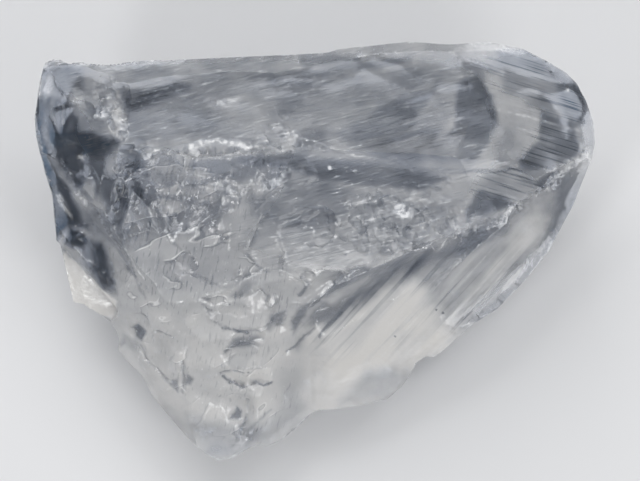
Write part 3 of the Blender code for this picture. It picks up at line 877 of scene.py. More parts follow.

# %% [markdown]
# The left end has the clearest place of the stone, a deep hollow with dark walls, whose dark is a
# painted shade through the colour ramp. Small light areas in it are the backs of flakes.

# %% Milk of the left end
paint((
    (0.07, 0.6, ((-23.4, 13.9), (-21.8, 13.7), (-21.5, 12.7), (-20.9, 10.9), (-19.3, 10.5),
        (-17.4, 10.0), (-18.8, 7.9), (-19.5, 5.7), (-20.2, 4.8), (-21.3, 5.8), (-22.5, 7.5),
        (-23.5, 9.2), (-24.1, 11.5))),
    (0.02, 0.6, ((-23.6, 10.3), (-20.7, 10.9), (-17.7, 10.1), (-18.9, 9.1), (-20.7, 8.5),
        (-22.9, 8.4))),
    (0.24, 0.6, ((-20.6, 8.2), (-18.4, 8.7), (-19.1, 6.2), (-19.8, 5.1), (-21.1, 6.7))),
    (0.02, 0.5, ((-23.8, 13.0), (-23.1, 13.7), (-22.7, 11.9), (-22.7, 9.2), (-21.8, 7.3),
        (-22.9, 7.6), (-23.8, 9.7))),
    (0.20, 0.3, ((-23.1, 13.2), (-22.7, 13.4), (-22.7, 10.9), (-23.1, 10.9))),
    (0.24, 0.3, ((-22.2, 13.0), (-21.7, 12.7), (-21.6, 11.0), (-22.0, 10.9))),
    (0.50, 0.25, ((-20.6, 6.4), (-19.5, 6.2), (-19.8, 4.8), (-20.9, 5.7))),
    (0.38, 0.3, ((-21.5, 12.8), (-20.2, 12.3), (-18.9, 11.2), (-18.0, 10.2), (-19.6, 10.7),
        (-21.0, 11.0))),
    (0.03, 0.4, ((-24.3, 14.8), (-23.4, 13.9), (-24.1, 11.0), (-23.6, 8.4), (-22.7, 6.7),
        (-21.5, 4.6), (-20.4, 2.2), (-22.0, 2.4), (-23.4, 1.0), (-24.2, 4.8), (-25.1, 9.2),
        (-25.1, 12.4))),
    (0.21, 0.2, ((-24.2, 16.4), (-23.1, 15.5), (-23.8, 14.3), (-24.4, 14.8))),
    (0.03, 0.3, ((-22.5, 1.0), (-22.1, 2.3), (-21.3, 1.9), (-20.2, 1.2), (-20.7, 0.1),
        (-21.8, 0.5))),
    (0.20, 0.5, ((-21.1, 0.4), (-20.0, 1.2), (-19.1, 0.8), (-18.6, -0.1), (-18.2, -1.5),
        (-18.1, -2.8), (-17.8, -3.6), (-18.9, -3.1), (-19.9, -2.0), (-20.7, -0.9))),
    (0.04, 0.4, ((-20.0, 0.3), (-19.3, 0.6), (-18.8, -0.3), (-18.7, -1.5), (-18.2, -2.8),
        (-18.9, -2.8), (-19.7, -1.7), (-20.2, -0.8))),
    (1.00, 0.2, ((-23.6, -0.4), (-22.4, 0.1), (-21.5, -0.8), (-20.4, -2.2), (-18.4, -3.8),
        (-17.6, -4.4), (-18.2, -5.8), (-20.7, -5.3), (-22.7, -4.6), (-23.6, -3.5))),
    (0.16, 0.5, ((-17.2, 14.4), (-14.8, 14.6), (-12.8, 15.3), (-11.0, 14.8), (-12.3, 14.3),
        (-13.9, 13.4), (-15.2, 12.8), (-16.6, 12.7), (-17.2, 13.4))),
    (0.52, 0.3, ((-18.9, 12.1), (-17.9, 12.1), (-17.3, 10.3), (-18.2, 10.7))),
))

# %% [markdown]
# The rim is streaked. Below it, on the right, the ribs of the fan change from clear to milky and
# back again.

# %% Milk of the rim and the fan
paint((
    (0.30, 0.35, ((8.9, 17.6), (8.4, 17.0), (5.8, 16.4), (2.7, 16.2), (0.4, 15.6), (-2.2, 15.4),
        (-5.8, 15.3), (-6.2, 15.7), (-3.1, 16.0), (0.4, 16.3), (3.1, 16.9), (6.7, 17.2))),
    (0.24, 0.6, ((11.0, 15.0), (10.3, 14.5), (7.6, 13.9), (5.7, 13.2), (4.9, 11.8), (7.6, 11.4),
        (9.1, 11.9), (9.2, 12.8), (10.3, 13.7))),
    (0.26, 1.0, ((4.9, 11.8), (9.1, 11.9), (8.7, 10.1), (9.4, 8.5), (8.4, 7.3), (5.8, 8.5),
        (3.1, 9.4), (1.8, 10.5))),
    (0.42, 0.5, ((11.2, 15.0), (12.7, 15.2), (12.6, 13.6), (12.3, 12.1), (11.2, 11.0), (10.1, 10.1),
        (9.1, 10.1), (9.2, 12.1), (10.5, 13.3))),
    (0.20, 0.35, ((14.4, 15.9), (15.0, 15.2), (15.9, 13.9), (16.3, 11.9), (16.6, 11.3),
        (15.7, 10.5), (15.2, 9.2), (13.9, 8.2), (11.2, 8.2), (10.3, 8.7), (11.4, 10.1),
        (12.4, 11.2), (12.6, 13.3), (12.8, 15.1))),
    (0.34, 0.8, ((10.3, 8.7), (11.4, 10.0), (15.2, 10.0), (13.9, 8.1), (11.2, 7.8))),
    (0.52, 0.4, ((16.4, 11.6), (17.1, 11.0), (16.4, 9.6), (15.8, 8.2), (15.2, 6.8), (14.3, 5.0),
        (12.8, 3.9), (13.6, 5.7), (14.3, 7.3), (15.2, 9.1), (15.6, 10.3))),
    (0.53, 0.5, ((15.2, 15.2), (16.6, 14.1), (19.3, 12.8), (20.0, 12.1), (19.8, 10.6), (18.8, 9.2),
        (17.7, 9.9), (17.2, 10.9), (16.4, 11.8), (16.2, 13.3))),
    (0.45, 0.6, ((17.1, 10.9), (18.8, 9.2), (18.2, 7.6), (15.7, 7.6), (16.6, 9.6))),
    (0.25, 0.3, ((20.2, 12.6), (23.3, 11.6), (23.4, 9.1), (22.9, 8.4), (20.7, 7.4), (18.4, 7.5),
        (18.1, 8.2), (19.1, 9.2), (19.9, 10.1))),
    (0.36, 0.3, ((21.3, 16.3), (22.0, 15.9), (23.2, 14.5), (23.2, 11.8), (22.3, 12.1), (21.8, 14.1),
        (21.4, 15.2))),
    (0.44, 0.3, ((22.2, 16.6), (24.2, 14.1), (25.2, 11.6), (25.2, 9.6), (24.5, 8.2), (23.4, 8.3),
        (23.4, 11.9), (23.2, 14.3), (22.0, 15.9))),
    (0.44, 0.4, ((15.2, 7.4), (18.4, 7.4), (22.2, 7.6), (20.0, 5.7), (18.0, 4.6), (15.9, 5.0),
        (14.5, 5.8))),
    (0.24, 0.3, ((14.6, 5.6), (16.6, 5.1), (18.0, 4.4), (16.6, 3.8), (14.8, 3.2), (13.5, 2.9),
        (13.3, 3.7))),
    (0.50, 0.9, ((9.8, 6.6), (12.6, 6.9), (14.6, 6.6), (13.9, 4.8), (13.0, 3.5), (12.1, 3.7),
        (10.3, 4.3), (8.7, 5.2))),
    (0.28, 0.3, ((19.7, 6.2), (20.7, 6.9), (21.8, 6.9), (21.3, 5.8), (20.2, 5.6))),
))

# %% [markdown]
# A clear trough runs under the long ridge, and the crushed middle lies below it.

# %% Milk of the middle
paint((
    (0.26, 0.35, ((-7.2, 8.4), (-4.9, 8.8), (-2.2, 8.9), (1.3, 8.4), (5.5, 8.1), (7.6, 7.7),
        (9.4, 7.3), (11.7, 6.7), (9.9, 5.7), (7.6, 5.8), (4.0, 6.0), (1.3, 6.4), (-2.2, 7.3),
        (-4.8, 7.7), (-6.7, 7.7))),
    (0.34, 0.7, ((-2.7, 6.7), (1.3, 6.3), (3.3, 5.7), (3.3, 4.3), (1.3, 2.2), (-1.3, 1.9),
        (-5.1, 3.3), (-5.7, 4.6), (-3.1, 5.5))),
    (0.49, 0.6, ((-5.7, 2.5), (-1.3, 1.9), (1.3, 2.2), (3.1, 1.9), (2.7, -0.8), (0.4, -1.7),
        (-4.0, -1.3), (-5.8, 0.3))),
    (0.44, 0.6, ((3.3, 5.2), (5.4, 5.7), (7.6, 5.2), (10.3, 3.9), (12.6, 3.7), (13.2, 2.5),
        (12.6, 1.2), (9.4, 0.4), (5.8, 0.1), (3.1, 0.8), (3.1, 3.4))),
    (0.38, 0.6, ((-17.7, 9.2), (-14.8, 8.4), (-13.5, 5.7), (-10.3, 4.8), (-7.8, 4.2), (-9.0, 2.2),
        (-11.2, 1.3), (-14.8, 1.9), (-18.2, 3.4), (-18.9, 6.1))),
    (0.28, 0.4, ((-10.7, 8.4), (-7.5, 8.4), (-4.8, 7.6), (-5.3, 6.4), (-9.0, 6.4), (-11.2, 7.3))),
    (0.45, 0.2, ((-14.1, 8.5), (-12.7, 8.7), (-12.1, 7.5), (-12.3, 6.0), (-13.9, 5.8),
        (-14.3, 7.3))),
    (0.46, 0.2, ((-18.1, 6.2), (-17.4, 6.8), (-16.8, 5.5), (-16.6, 4.2), (-17.3, 2.8), (-17.9, 2.2),
        (-18.3, 3.9))),
))

# %% [markdown]
# The smooth band at the lower right is the whitest part. A dark seam runs along the whole of its
# upper edge.

# %% Milk of the smooth band
paint((
    (0.40, 1.0, ((16.6, 2.5), (19.3, 3.7), (23.6, 4.3), (23.1, 1.6), (20.2, -2.9), (16.6, -6.5),
        (13.2, -7.4), (12.3, -5.6), (13.9, -2.9))),
    (0.70, 1.0, ((17.5, 2.8), (19.8, 4.0), (21.3, 3.1), (20.2, 0.7), (17.5, -0.8), (16.6, 1.2))),
    (1.00, 3.0, ((2.7, -6.2), (5.1, -4.2), (7.6, -2.6), (10.1, -3.3), (12.3, -5.3), (12.3, -7.4),
        (11.2, -8.9), (9.0, -9.2), (7.6, -11.2), (6.3, -13.4), (0.3, -14.3), (-0.4, -13.2),
        (0.1, -8.0))),
    (0.45, 0.8, ((8.5, -1.7), (12.1, -0.8), (16.6, -0.4), (16.2, -2.9), (13.9, -4.2), (11.2, -4.2),
        (9.9, -3.1))),
    (0.60, 0.8, ((4.5, -10.7), (8.7, -9.8), (8.1, -12.5), (6.3, -13.4), (2.2, -13.6))),
    (0.92, 1.0, ((9.2, -6.9), (11.2, -6.7), (11.8, -8.3), (9.9, -9.2), (8.4, -9.2))),
    (0.34, 0.8, ((18.2, 3.6), (16.3, 3.2), (13.9, 2.2), (12.6, 1.2), (11.2, 0.2), (9.4, -0.3),
        (7.2, -0.8), (5.8, -2.0), (4.5, -3.1), (2.2, -4.4), (0.3, -5.3), (-0.8, -6.7), (-1.5, -8.5),
        (-0.3, -7.6), (1.3, -6.4), (3.1, -4.9), (4.9, -3.9), (6.9, -2.9), (8.5, -1.8), (11.2, -0.9),
        (13.2, -0.3), (15.0, 0.6), (16.8, 1.9))),
    (0.36, 0.3, ((0.3, -3.7), (1.3, -2.7), (3.1, -1.6), (4.4, -1.1), (5.3, -1.3), (3.1, -2.6),
        (0.9, -4.0), (-0.9, -5.7), (-2.1, -7.4), (-2.2, -6.0), (-1.2, -4.8))),
    (0.64, 0.25, ((0.6, -4.3), (2.7, -3.1), (4.8, -2.2), (3.1, -3.5), (1.5, -4.6))),
))

# %% [markdown]
# The lower half is full of small clear flakes, each with an area of its own.

# %% Milk of the small flakes
paint((
    (0.46, 0.3, ((-7.5, -3.9), (-6.2, -2.6), (-4.8, -1.8), (-5.3, -3.0), (-6.2, -4.0))),
    (0.80, 0.6, ((-6.4, -4.2), (-4.9, -3.2), (-4.2, -4.2), (-4.8, -5.2), (-6.0, -4.9))),
    (0.34, 0.2, ((-16.5, -6.7), (-15.8, -6.3), (-15.2, -7.0), (-15.5, -7.9), (-16.2, -7.6))),
    (0.42, 0.3, ((-17.8, -8.4), (-17.2, -7.5), (-16.2, -7.9), (-17.1, -8.3))),
    (0.40, 0.2, ((-13.0, -11.8), (-12.4, -11.2), (-12.3, -12.5))),
    (0.42, 0.2, ((-11.8, -11.8), (-11.4, -11.0), (-11.0, -11.2), (-11.2, -11.8))),
    (0.40, 0.2, ((-7.8, -14.9), (-7.1, -13.8), (-6.6, -14.3), (-6.7, -14.9))),
    (0.40, 0.2, ((-6.8, -15.5), (-6.0, -14.5), (-6.3, -15.9), (-7.1, -17.0))),
    (0.42, 0.3, ((-8.2, -8.9), (-7.3, -7.8), (-5.8, -7.4), (-4.7, -7.7), (-5.8, -8.4),
        (-7.1, -8.4))),
    (0.42, 0.3, ((-4.6, -6.6), (-3.9, -5.5), (-2.6, -5.2), (-3.0, -6.2), (-4.0, -6.9))),
))

# %% [markdown]
# The last areas even out what the first ones left too light or too dark.

# %% Last touches of milk
paint((
    (0.14, 0.5, ((-24.2, 16.6), (-22.4, 16.8), (-20.7, 16.3), (-20.7, 14.5), (-22.9, 13.9),
        (-24.3, 14.8))),
    (0.18, 0.5, ((16.3, 18.0), (19.3, 18.0), (22.0, 16.4), (24.3, 14.1), (24.0, 12.5), (22.2, 14.5),
        (19.3, 16.4), (16.6, 16.8))),
    (0.20, 0.8, ((7.3, 11.2), (11.2, 10.9), (10.9, 9.1), (8.5, 8.4), (6.9, 9.4))),
    (0.70, 1.5, ((10.3, -4.2), (12.1, -1.2), (16.6, 0.6), (18.4, -0.4), (15.7, -3.9),
        (12.6, -5.8))),
    (0.14, 0.6, ((-17.3, 9.4), (-15.3, 9.1), (-15.0, 7.3), (-16.8, 6.7), (-17.7, 7.9))),
    (0.32, 1.0, ((-21.1, 4.3), (-18.4, 3.7), (-14.8, 3.7), (-14.8, 1.3), (-17.5, 0.3), (-19.3, 1.5),
        (-20.7, 2.6))),
    (0.30, 0.8, ((-1.7, 10.7), (1.3, 10.9), (1.3, 9.2), (-1.3, 9.1))),
    (0.28, 0.5, ((-4.0, 16.1), (-0.4, 16.3), (-0.3, 15.0), (-3.9, 14.6))),
    (0.66, 1.2, ((-4.9, -1.7), (0.4, -1.3), (0.6, -3.5), (-2.2, -4.4), (-4.8, -3.5))),
    (0.78, 1.0, ((-7.3, -5.1), (-4.8, -4.8), (-4.8, -7.4), (-7.1, -7.4))),
    (0.60, 0.5, ((15.0, 16.1), (16.6, 16.1), (16.8, 14.6), (15.5, 14.5))),
    (0.30, 0.6, ((-20.4, 13.4), (-18.6, 13.0), (-17.9, 11.4), (-19.3, 10.9), (-20.6, 11.9))),
    (0.16, 0.5, ((21.5, 14.6), (23.3, 14.5), (24.0, 11.6), (22.5, 11.4))),
    (0.48, 1.0, ((-11.4, -14.8), (-4.8, -15.9), (-5.8, -18.9), (-9.9, -18.4))),
    (0.34, 0.6, ((21.6, 6.9), (24.9, 7.9), (24.5, 3.4), (22.2, 0.3), (20.2, 0.3), (21.6, 3.4))),
    (0.22, 0.6, ((-19.5, 7.3), (-15.7, 6.9), (-14.8, 4.3), (-17.7, 3.7), (-19.3, 4.8))),
    (0.34, 0.4, ((-1.3, 17.5), (4.0, 17.9), (4.2, 16.8), (-1.2, 16.4))),
    (0.64, 1.0, ((-17.5, -1.5), (-15.3, -1.5), (-15.3, -5.3), (-17.3, -5.3))),
    (0.36, 0.6, ((-16.6, 16.4), (-12.8, 16.6), (-12.8, 15.2), (-16.4, 14.8))),
    (0.56, 0.8, ((-8.4, 2.2), (-6.2, 2.1), (-6.2, -1.3), (-8.4, -1.5))),
    (0.90, 0.8, ((7.5, -7.1), (9.8, -6.9), (9.8, -10.3), (7.6, -10.7))),
    (0.80, 0.8, ((-1.2, -6.9), (0.6, -6.6), (0.6, -10.7), (-1.0, -10.9))),
    (0.36, 0.4, ((-4.8, 7.3), (-2.4, 7.6), (-2.2, 5.7), (-4.6, 5.5))),
    (0.40, 0.4, ((-12.1, 7.3), (-10.3, 7.3), (-10.3, 5.7), (-12.1, 5.7))),
    (0.40, 0.4, ((-13.7, 5.5), (-11.9, 5.5), (-11.9, 3.7), (-13.7, 3.7))),
    (0.30, 0.6, ((-15.7, 3.7), (-13.9, 3.7), (-13.9, 1.9), (-15.5, 2.1))),
    (0.62, 0.5, ((-17.3, -7.3), (-15.7, -8.0), (-15.9, -8.9), (-17.2, -8.7))),
))

# %% [markdown]
# Short dark cracks are painted as lines. The sides and the back get clouds that are seeded, since
# nothing on them has to be in one place.

# %% Cracks and clouds
CRACKS = (
    # milkiness, share of the way to it, line
    (0.40, 0.5, ((-15.6, -8.3), (-15.0, -9.8), (-14.1, -10.7), (-13.0, -11.8), (-12.4, -12.4))),
    (0.40, 0.5, ((-11.9, -9.8), (-11.9, -11.0), (-11.9, -12.5))),
    (0.40, 0.5, ((-6.1, -16.0), (-5.1, -15.1), (-4.0, -14.1))),
    (0.30, 1, ((-8.4, -10.9), (-7.1, -11.9), (-6.6, -12.3), (-5.3, -11.9), (-4.0, -11.6))),
    (0.30, 0.5, ((-13.5, 1.9), (-12.3, 0.6), (-11.5, -0.4))),
    (0.40, 0.5, ((-11.2, -1.7), (-9.6, -2.4), (-8.2, -3.1), (-7.5, -3.0), (-6.4, -2.2),
        (-4.8, -1.6), (-3.9, -1.7))),
    (0.40, 0.5, ((-10.0, -4.8), (-8.4, -6.7), (-6.2, -7.3), (-4.8, -6.9))),
    (0.40, 0.5, ((-16.6, -0.8), (-16.0, -2.3), (-15.1, -4.0))),
)
CRACK_WIDTH = 0.2  # mm
for value, share, line in CRACKS:
    tone(along(line, CRACK_WIDTH) * share, value)
tone(flank * eased(0.5 + 1.2 * grain(3.5, 51, 20, 2.5)), 0.42)
tone(flank * eased(1.2 * grain(2.5, 52, 20, 2.5)), 0.68)
print("milkiness:", [round(float(value), 2) for value in np.percentile(milk, (5, 50, 95))])

# %% [markdown]
# Clear places are where a shell came off whole, so they lie a little lower than the milky ones.
# Sinking the surface by its clearness gives each painted edge a real step that catches the light.

# %% Clear places lie lower
STEP = 0.25  # mm between the clearest place and the whitest
sink((0.5 - blended(milk, 2)) * STEP * on_top)
soften(1, on_top * 0.25)
normals = outward()
deepest = ((0.5 - milk) * STEP * on_top).max()
print("clearest places are sunk by", round(float(deepest), 2), "mm")

# %% [markdown]
# Each flat break gets a painted shade, lighter or darker than what is around it by its lean. Dark
# lines mark the edges where the flakes of the upper half overlap.

# %% Painted shade of the flats, and dark edges
# the painted shade of the flats goes into the milkiness
milk += painted_flake_shade
for spot in ((10.9, -5.1), (11.5, -5.4), (7.2, -7.5), (2.7, -0.1)):
    tone(patch(spot, 0.15, 0.13, 0, 1.0), 0.1)
DARK_EDGES = (
    ((-14.1, 5.9), (-13.2, 5.8), (-12.3, 6.2)),
    ((-13.9, 4.9), (-13.0, 5.0), (-11.9, 4.8)),
    ((-12.5, 8.6), (-12.0, 7.8), (-12.2, 6.7)),
    ((-10.9, 5.9), (-10.3, 6.1), (-9.6, 6.3)),
    ((-18.2, 6.2), (-18.6, 5.1), (-18.2, 2.4)),
    ((-19.3, 2.2), (-17.5, 0.1), (-16.1, -2.1)),
    ((-6.2, -0.1), (-4.8, -1.5)),
    ((-2.6, -8.7), (-1.9, -8.5), (-1.0, -7.5), (-0.1, -6.9)),
    ((0.3, -7.5), (1.3, -6.2), (2.4, -5.3)),
    ((-8.4, -6.8), (-7.3, -7.1), (-6.0, -7.3)),
    ((-1.3, -2.1), (-0.6, -2.6), (-1.3, -3.9)),
    ((5.8, 8.5), (10.3, 7.2), (13.9, 7.1), (18.4, 7.5)),
    ((10.3, 7.5), (14.8, 7.3), (20.2, 7.5)),
)
for line in DARK_EDGES:
    tone(along(line, CRACK_WIDTH) * 0.7, 0.28)
print("milkiness with flats and lines:", round(float(milk.mean()), 2))

# %% [markdown]
# All the cuts together may still be too much for a thin edge. No point may end up further from
# where it began than a quarter of the stone that was under it.

# %% Keep thin places whole
SHARE_OF_THICKNESS = 0.25
moved = points - at_start
travel = np.linalg.norm(moved, axis=1)
allowed = np.minimum(1, SHARE_OF_THICKNESS * thickness / np.maximum(travel, 1e-6))
points[:] = at_start + moved * allowed[:, None]
normals = outward()
print("deepest:", round(float((travel * allowed).max()), 2), "mm")
print("held back:", int((allowed < 1).sum()), "points")

# %% [markdown]
# Crushed edges look like frost, because they throw the light back in every direction. Frosting is
# painted like milkiness, but where two areas meet the whiter one wins. The same column also holds
# painted highlights on edges that catch the light.

# %% Where the stone is frosted, and where highlights are painted
frost_and_highlights = np.zeros(len(points))


def raise_frost_and_highlights(weight, value):
    """Pulls the frosting and the painted highlights up towards a value."""
    frost_and_highlights[:] = np.maximum(frost_and_highlights, weight * value)


FROSTY_AREAS = (
    # frosting, width of the soft edge in mm, corners
    (0.55, 0.2, ((-18.9, 15.4), (-18.4, 14.5), (-17.8, 13.7), (-17.2, 12.7), (-16.7, 11.5),
        (-17.0, 10.1), (-17.4, 10.3), (-17.7, 11.8), (-18.6, 12.1), (-19.9, 12.1), (-19.5, 13.0),
        (-18.7, 13.4), (-19.1, 14.3))),
    (0.85, 0.15, ((-11.2, 9.5), (-10.0, 10.1), (-8.5, 10.2), (-7.1, 10.1), (-6.2, 9.7), (-4.8, 9.4),
        (-2.7, 9.2), (-1.7, 9.4), (-2.8, 9.0), (-4.8, 9.2), (-7.1, 9.5), (-9.0, 9.8), (-10.1, 9.3),
        (-10.4, 8.5), (-11.2, 8.8))),
    (0.70, 0.2, ((-3.1, 10.9), (-1.7, 11.0), (-1.4, 10.5), (-2.0, 9.5), (-2.8, 9.3), (-2.6, 10.2))),
    (0.50, 0.2, ((-9.8, 13.0), (-8.9, 13.6), (-6.7, 13.9), (-6.4, 13.6), (-7.5, 13.2),
        (-9.1, 12.9))),
    (0.22, 0.5, ((3.3, 5.1), (5.4, 5.7), (7.6, 5.0), (10.3, 3.9), (12.3, 3.5), (12.8, 2.4),
        (12.3, 1.3), (9.4, 0.6), (5.8, 0.4), (3.3, 1.2))),
    (0.75, 0.2, ((6.9, 4.0), (7.5, 4.5), (8.5, 4.2), (8.8, 3.3), (7.8, 3.0), (7.1, 3.3))),
    (0.45, 0.2, ((10.5, 2.8), (11.9, 3.4), (12.7, 2.4), (12.1, 1.7), (11.0, 2.1))),
    (0.55, 0.2, ((-5.1, 5.5), (-4.8, 6.2), (-3.9, 6.6), (-2.6, 7.5), (-2.3, 7.1), (-3.3, 6.0),
        (-4.2, 5.4))),
    (0.50, 0.2, ((-9.2, 6.2), (-7.8, 6.4), (-7.1, 5.8), (-7.6, 5.3), (-8.7, 5.5))),
    (0.60, 0.15, ((-8.4, 4.9), (-7.8, 5.1), (-7.5, 4.6), (-8.0, 4.2))),
    (0.35, 0.2, ((-23.6, 13.4), (-23.1, 12.7), (-23.1, 11.2), (-23.6, 11.8))),
    (0.30, 0.3, ((-22.9, -0.2), (-21.6, -0.8), (-20.4, -2.4), (-18.4, -4.0), (-18.9, -4.8),
        (-22.4, -4.0))),
)
for value, soft, rim in FROSTY_AREAS:
    raise_frost_and_highlights(area(rim, soft), value)
print("frosty areas:", len(FROSTY_AREAS))

# %% [markdown]
# Thin white lines are painted highlights on the edges of flakes that catch the light, and single
# white spots are crushed points on a ridge.

# %% Frosted lines, painted highlights on edges, and spots
FROSTY_LINES = (
    # frosting, width in mm, line
    (0.7, 0.5, ((24.3, 9.0), (22.9, 7.6), (21.6, 6.4), (20.7, 5.7))),
    (0.3, 0.5, ((20.2, 5.5), (17.9, 4.2), (16.6, 3.5), (13.0, 1.3))),
    (0.9, 0.2, ((-13.3, 2.1), (-12.6, 0.9), (-12.0, 2.2))),
    (0.7, 0.22, ((-22.5, 13.1), (-22.5, 11.6))),
    (0.6, 0.25, ((-20.9, 6.6), (-20.0, 6.5))),
    (0.2, 0.2, ((-24.7, 13.3), (-24.9, 11.0), (-24.4, 7.5), (-23.8, 3.9), (-23.4, -0.2))),
    (0.8, 0.25, ((-15.3, 8.5), (-14.8, 8.7), (-14.1, 8.9))),
    (0.45, 0.2, ((-22.7, 8.4), (-21.8, 6.6), (-20.7, 4.4))),
    (0.7, 0.12, ((0.6, -3.5), (2.2, -2.4), (3.9, -1.5))),
    (0.5, 0.2, ((-3.1, 2.5), (-2.9, 1.2), (-2.5, -0.4), (-2.9, -1.3))),
    (0.15, 0.3, ((-6.3, 15.4), (-2.7, 11.9), (-1.3, 10.6))),
    (0.5, 0.2, ((-1.3, 10.3), (1.3, 9.4), (3.1, 8.8), (5.1, 8.4))),
)
for value, width, line in FROSTY_LINES:
    raise_frost_and_highlights(along(line, width), value)
# painted highlights: the edges of flakes that catch the light
WHITE_EDGES = (
    ((-17.0, 6.9), (-17.7, 6.0), (-18.1, 4.3), (-17.9, 2.2)),
    ((-9.8, 4.5), (-10.7, 3.3), (-11.2, 2.2)),
    ((-14.8, 4.0), (-14.4, 2.8), (-13.7, 2.1)),
    ((-5.1, 7.5), (-5.5, 6.4), (-6.2, 5.7)),
    ((-2.2, 7.5), (-2.8, 6.4), (-4.0, 5.5), (-5.1, 5.5)),
    ((-3.5, 1.3), (-3.0, 2.2), (-2.5, 2.9)),
    ((-3.5, 1.3), (-3.1, 0.3), (-2.5, -0.8)),
    ((-0.8, 2.4), (-0.1, 2.1), (-0.2, 1.3), (-1.0, 0.9)),
    ((-16.4, 6.7), (-16.8, 5.5), (-16.5, 4.2), (-17.3, 2.6)),
    ((-18.2, 2.2), (-16.8, 0.3), (-15.3, -2.4)),
    ((2.2, 0.6), (3.1, -0.1), (2.8, -0.4)),
    ((10.3, 0.6), (11.0, 0.1), (11.8, 1.2)),
    ((-7.5, 2.5), (-7.5, 0.3)),
    ((-3.1, -1.5), (-1.3, -2.1), (-0.3, -2.4)),
)
for line in WHITE_EDGES:
    raise_frost_and_highlights(along(line, 0.16), 0.6)
for spot in ((-10.7, 9.2), (-9.5, 7.4), (-15.1, 8.5), (-14.2, 9.0), (-8.1, 4.4), (-11.9, 2.6),
    (1.3, 7.6), (3.6, 7.3), (24.0, 8.8), (22.5, 14.5), (-6.3, 9.4)):
    raise_frost_and_highlights(patch(spot, 0.28, 0.28, 0, 0.6), 1.0)
print("frosted points:", int((frost_and_highlights > 0.3).sum()))

# %% [markdown]
# The rest of the frost is found by measuring. A point that stands out from the middle of its
# neighbours is on a crest, and crests are painted white, partly as rubbed frost and partly as a
# painted highlight, while the valleys beside them get a painted shade: they are made a little
# clearer, which the colour ramp turns darker.

# %% Frost on seams, frost and painted highlight on crests, painted shade in valleys
CREST = 0.012  # mm that a point stands out from its neighbours, or lies below them, to be marked
raise_frost_and_highlights(seams, 0.28)
# painted highlight along the edges of the flat breaks
raise_frost_and_highlights(flake_edge * eased(0.5 + 1.5 * grain(0.9, 12)), 0.45)
crest = blended(-((middles() - points) * normals).sum(axis=1), 1)
# crests: partly rubbed frost, partly a painted highlight
raise_frost_and_highlights(eased((crest - CREST) / CREST) * np.maximum(on_top, 0.7 * side), 0.5)
# painted shade: the valleys are made clearer, so the ramp paints them darker
tone(eased((-crest - CREST) / CREST) * on_top * 0.2, 0.2)
frost_and_highlights *= 0.65 + 0.5 * grain(0.35, 11)
frost_and_highlights = np.clip(frost_and_highlights, 0, 1)
print("crests:", int((crest > CREST).sum()), "points, valleys:", int((crest < -CREST).sum()))

# %% [markdown]
# The columns go back into the mesh, in metres. Its faces are shaded smooth except across edges of
# more than 30 degrees, which keep their crisp line.

# %% Put the work back into the mesh
mesh.vertices.foreach_set("co", (points * MM).ravel())
mesh.update()
mesh.polygons.foreach_set("use_smooth", [True] * len(mesh.polygons))
mesh.set_sharp_from_angle(angle=math.radians(30))
print("triangles:", len(mesh.polygons))

# %% [markdown]
# Scratches finer than the net belong to the material. Each kind of line has its own part of the
# stone, and these parts are stored on the points as attributes, beside the milkiness with its
# painted shade and the frosting with its painted highlights, so that the material can ask for them
# by name.

# %% Where fine lines run
upper = area(((13.9, 17.5), (19.3, 17.7), (23.8, 13.7), (24.3, 8.4), (20.2, 7.3), (18.4, 8.4),
    (20.2, 12.4), (16.6, 14.1)), 0.8)
upper = np.maximum(upper, area(((14.6, 7.3), (18.4, 7.6), (20.7, 6.1), (18.4, 4.3), (15.7, 4.8),
    (13.9, 5.5)), 0.5))
band = area(((-1.3, -6.9), (9.4, -0.2), (19.3, 1.2), (16.6, -4.2), (11.2, -8.7), (1.3, -9.6)), 1.5)
fan = area(((-23.8, 17.3), (11.2, 17.8), (14.8, 16.4), (16.6, 7.9), (13.9, 2.1), (3.1, -2.0),
    (-6.7, -0.8), (-17.5, 4.8)), 1.5)
fan *= (1 - upper) * (1 - band)
tip = area(((-18.4, 8.4), (-2.2, 8.4), (-4.0, 4.8), (-6.7, 1.6), (-6.7, 0.3), (-1.3, -2.4),
    (-2.2, -7.8), (-1.3, -13.2), (-4.8, -17.7), (-10.3, -15.0), (-16.6, -6.9), (-17.5, -3.3)), 1.5)
fan *= 1 - tip
for name, values in (("milk", milk), ("frost_and_highlights", frost_and_highlights), ("upper", upper), ("band", band),
    ("fan", fan), ("tip", tip)):
    layer = mesh.attributes.new(name, "FLOAT", "POINT")
    layer.data.foreach_set("value", values.astype(np.float32))
print("lost points:", int(np.isnan(points).any(axis=1).sum()))
print("milk:", round(float(milk.mean()), 2), "frost:", round(float(frost_and_highlights.mean()), 3))

# %% [markdown]
# Light goes into petalite, bends, and comes out again, so its shader is see-through by plain
# transmission. Its index of refraction is 1.51, close to that of window glass. What is the same all
# over the stone is set on the shader's own sockets. What changes from place to place is worked out
# by nodes further on.

# %% Petalite, the same all over
REFRACTION = 1.51  # petalite bends light as much as window glass does
stone_material = bpy.data.materials.new("petalite")
stone_material.use_nodes = True
tree = stone_material.node_tree
shader = tree.nodes["Principled BSDF"]
shader.inputs["IOR"].default_value = REFRACTION
shader.inputs["Coat Weight"].default_value = 0.12
shader.inputs["Coat Roughness"].default_value = 0.07
print("light mirrored by a clear face:", round(((REFRACTION - 1) / (REFRACTION + 1)) ** 2, 3))

# %% [markdown]
# A material in code soon gets long, so small helpers make the nodes and return the socket that the
# next one needs. The first ones make a node, link two sockets and make a stretched noise.

# %% Nodes, wires and noises
def node(kind, **settings):
    """Makes a node and sets its options."""
    made = tree.nodes.new(kind)
    for name, value in settings.items():
        setattr(made, name, value)
    return made


def wire(source, target):
    """Links two sockets."""
    tree.links.new(source, target)


coordinates = node("ShaderNodeTexCoord").outputs["Object"]


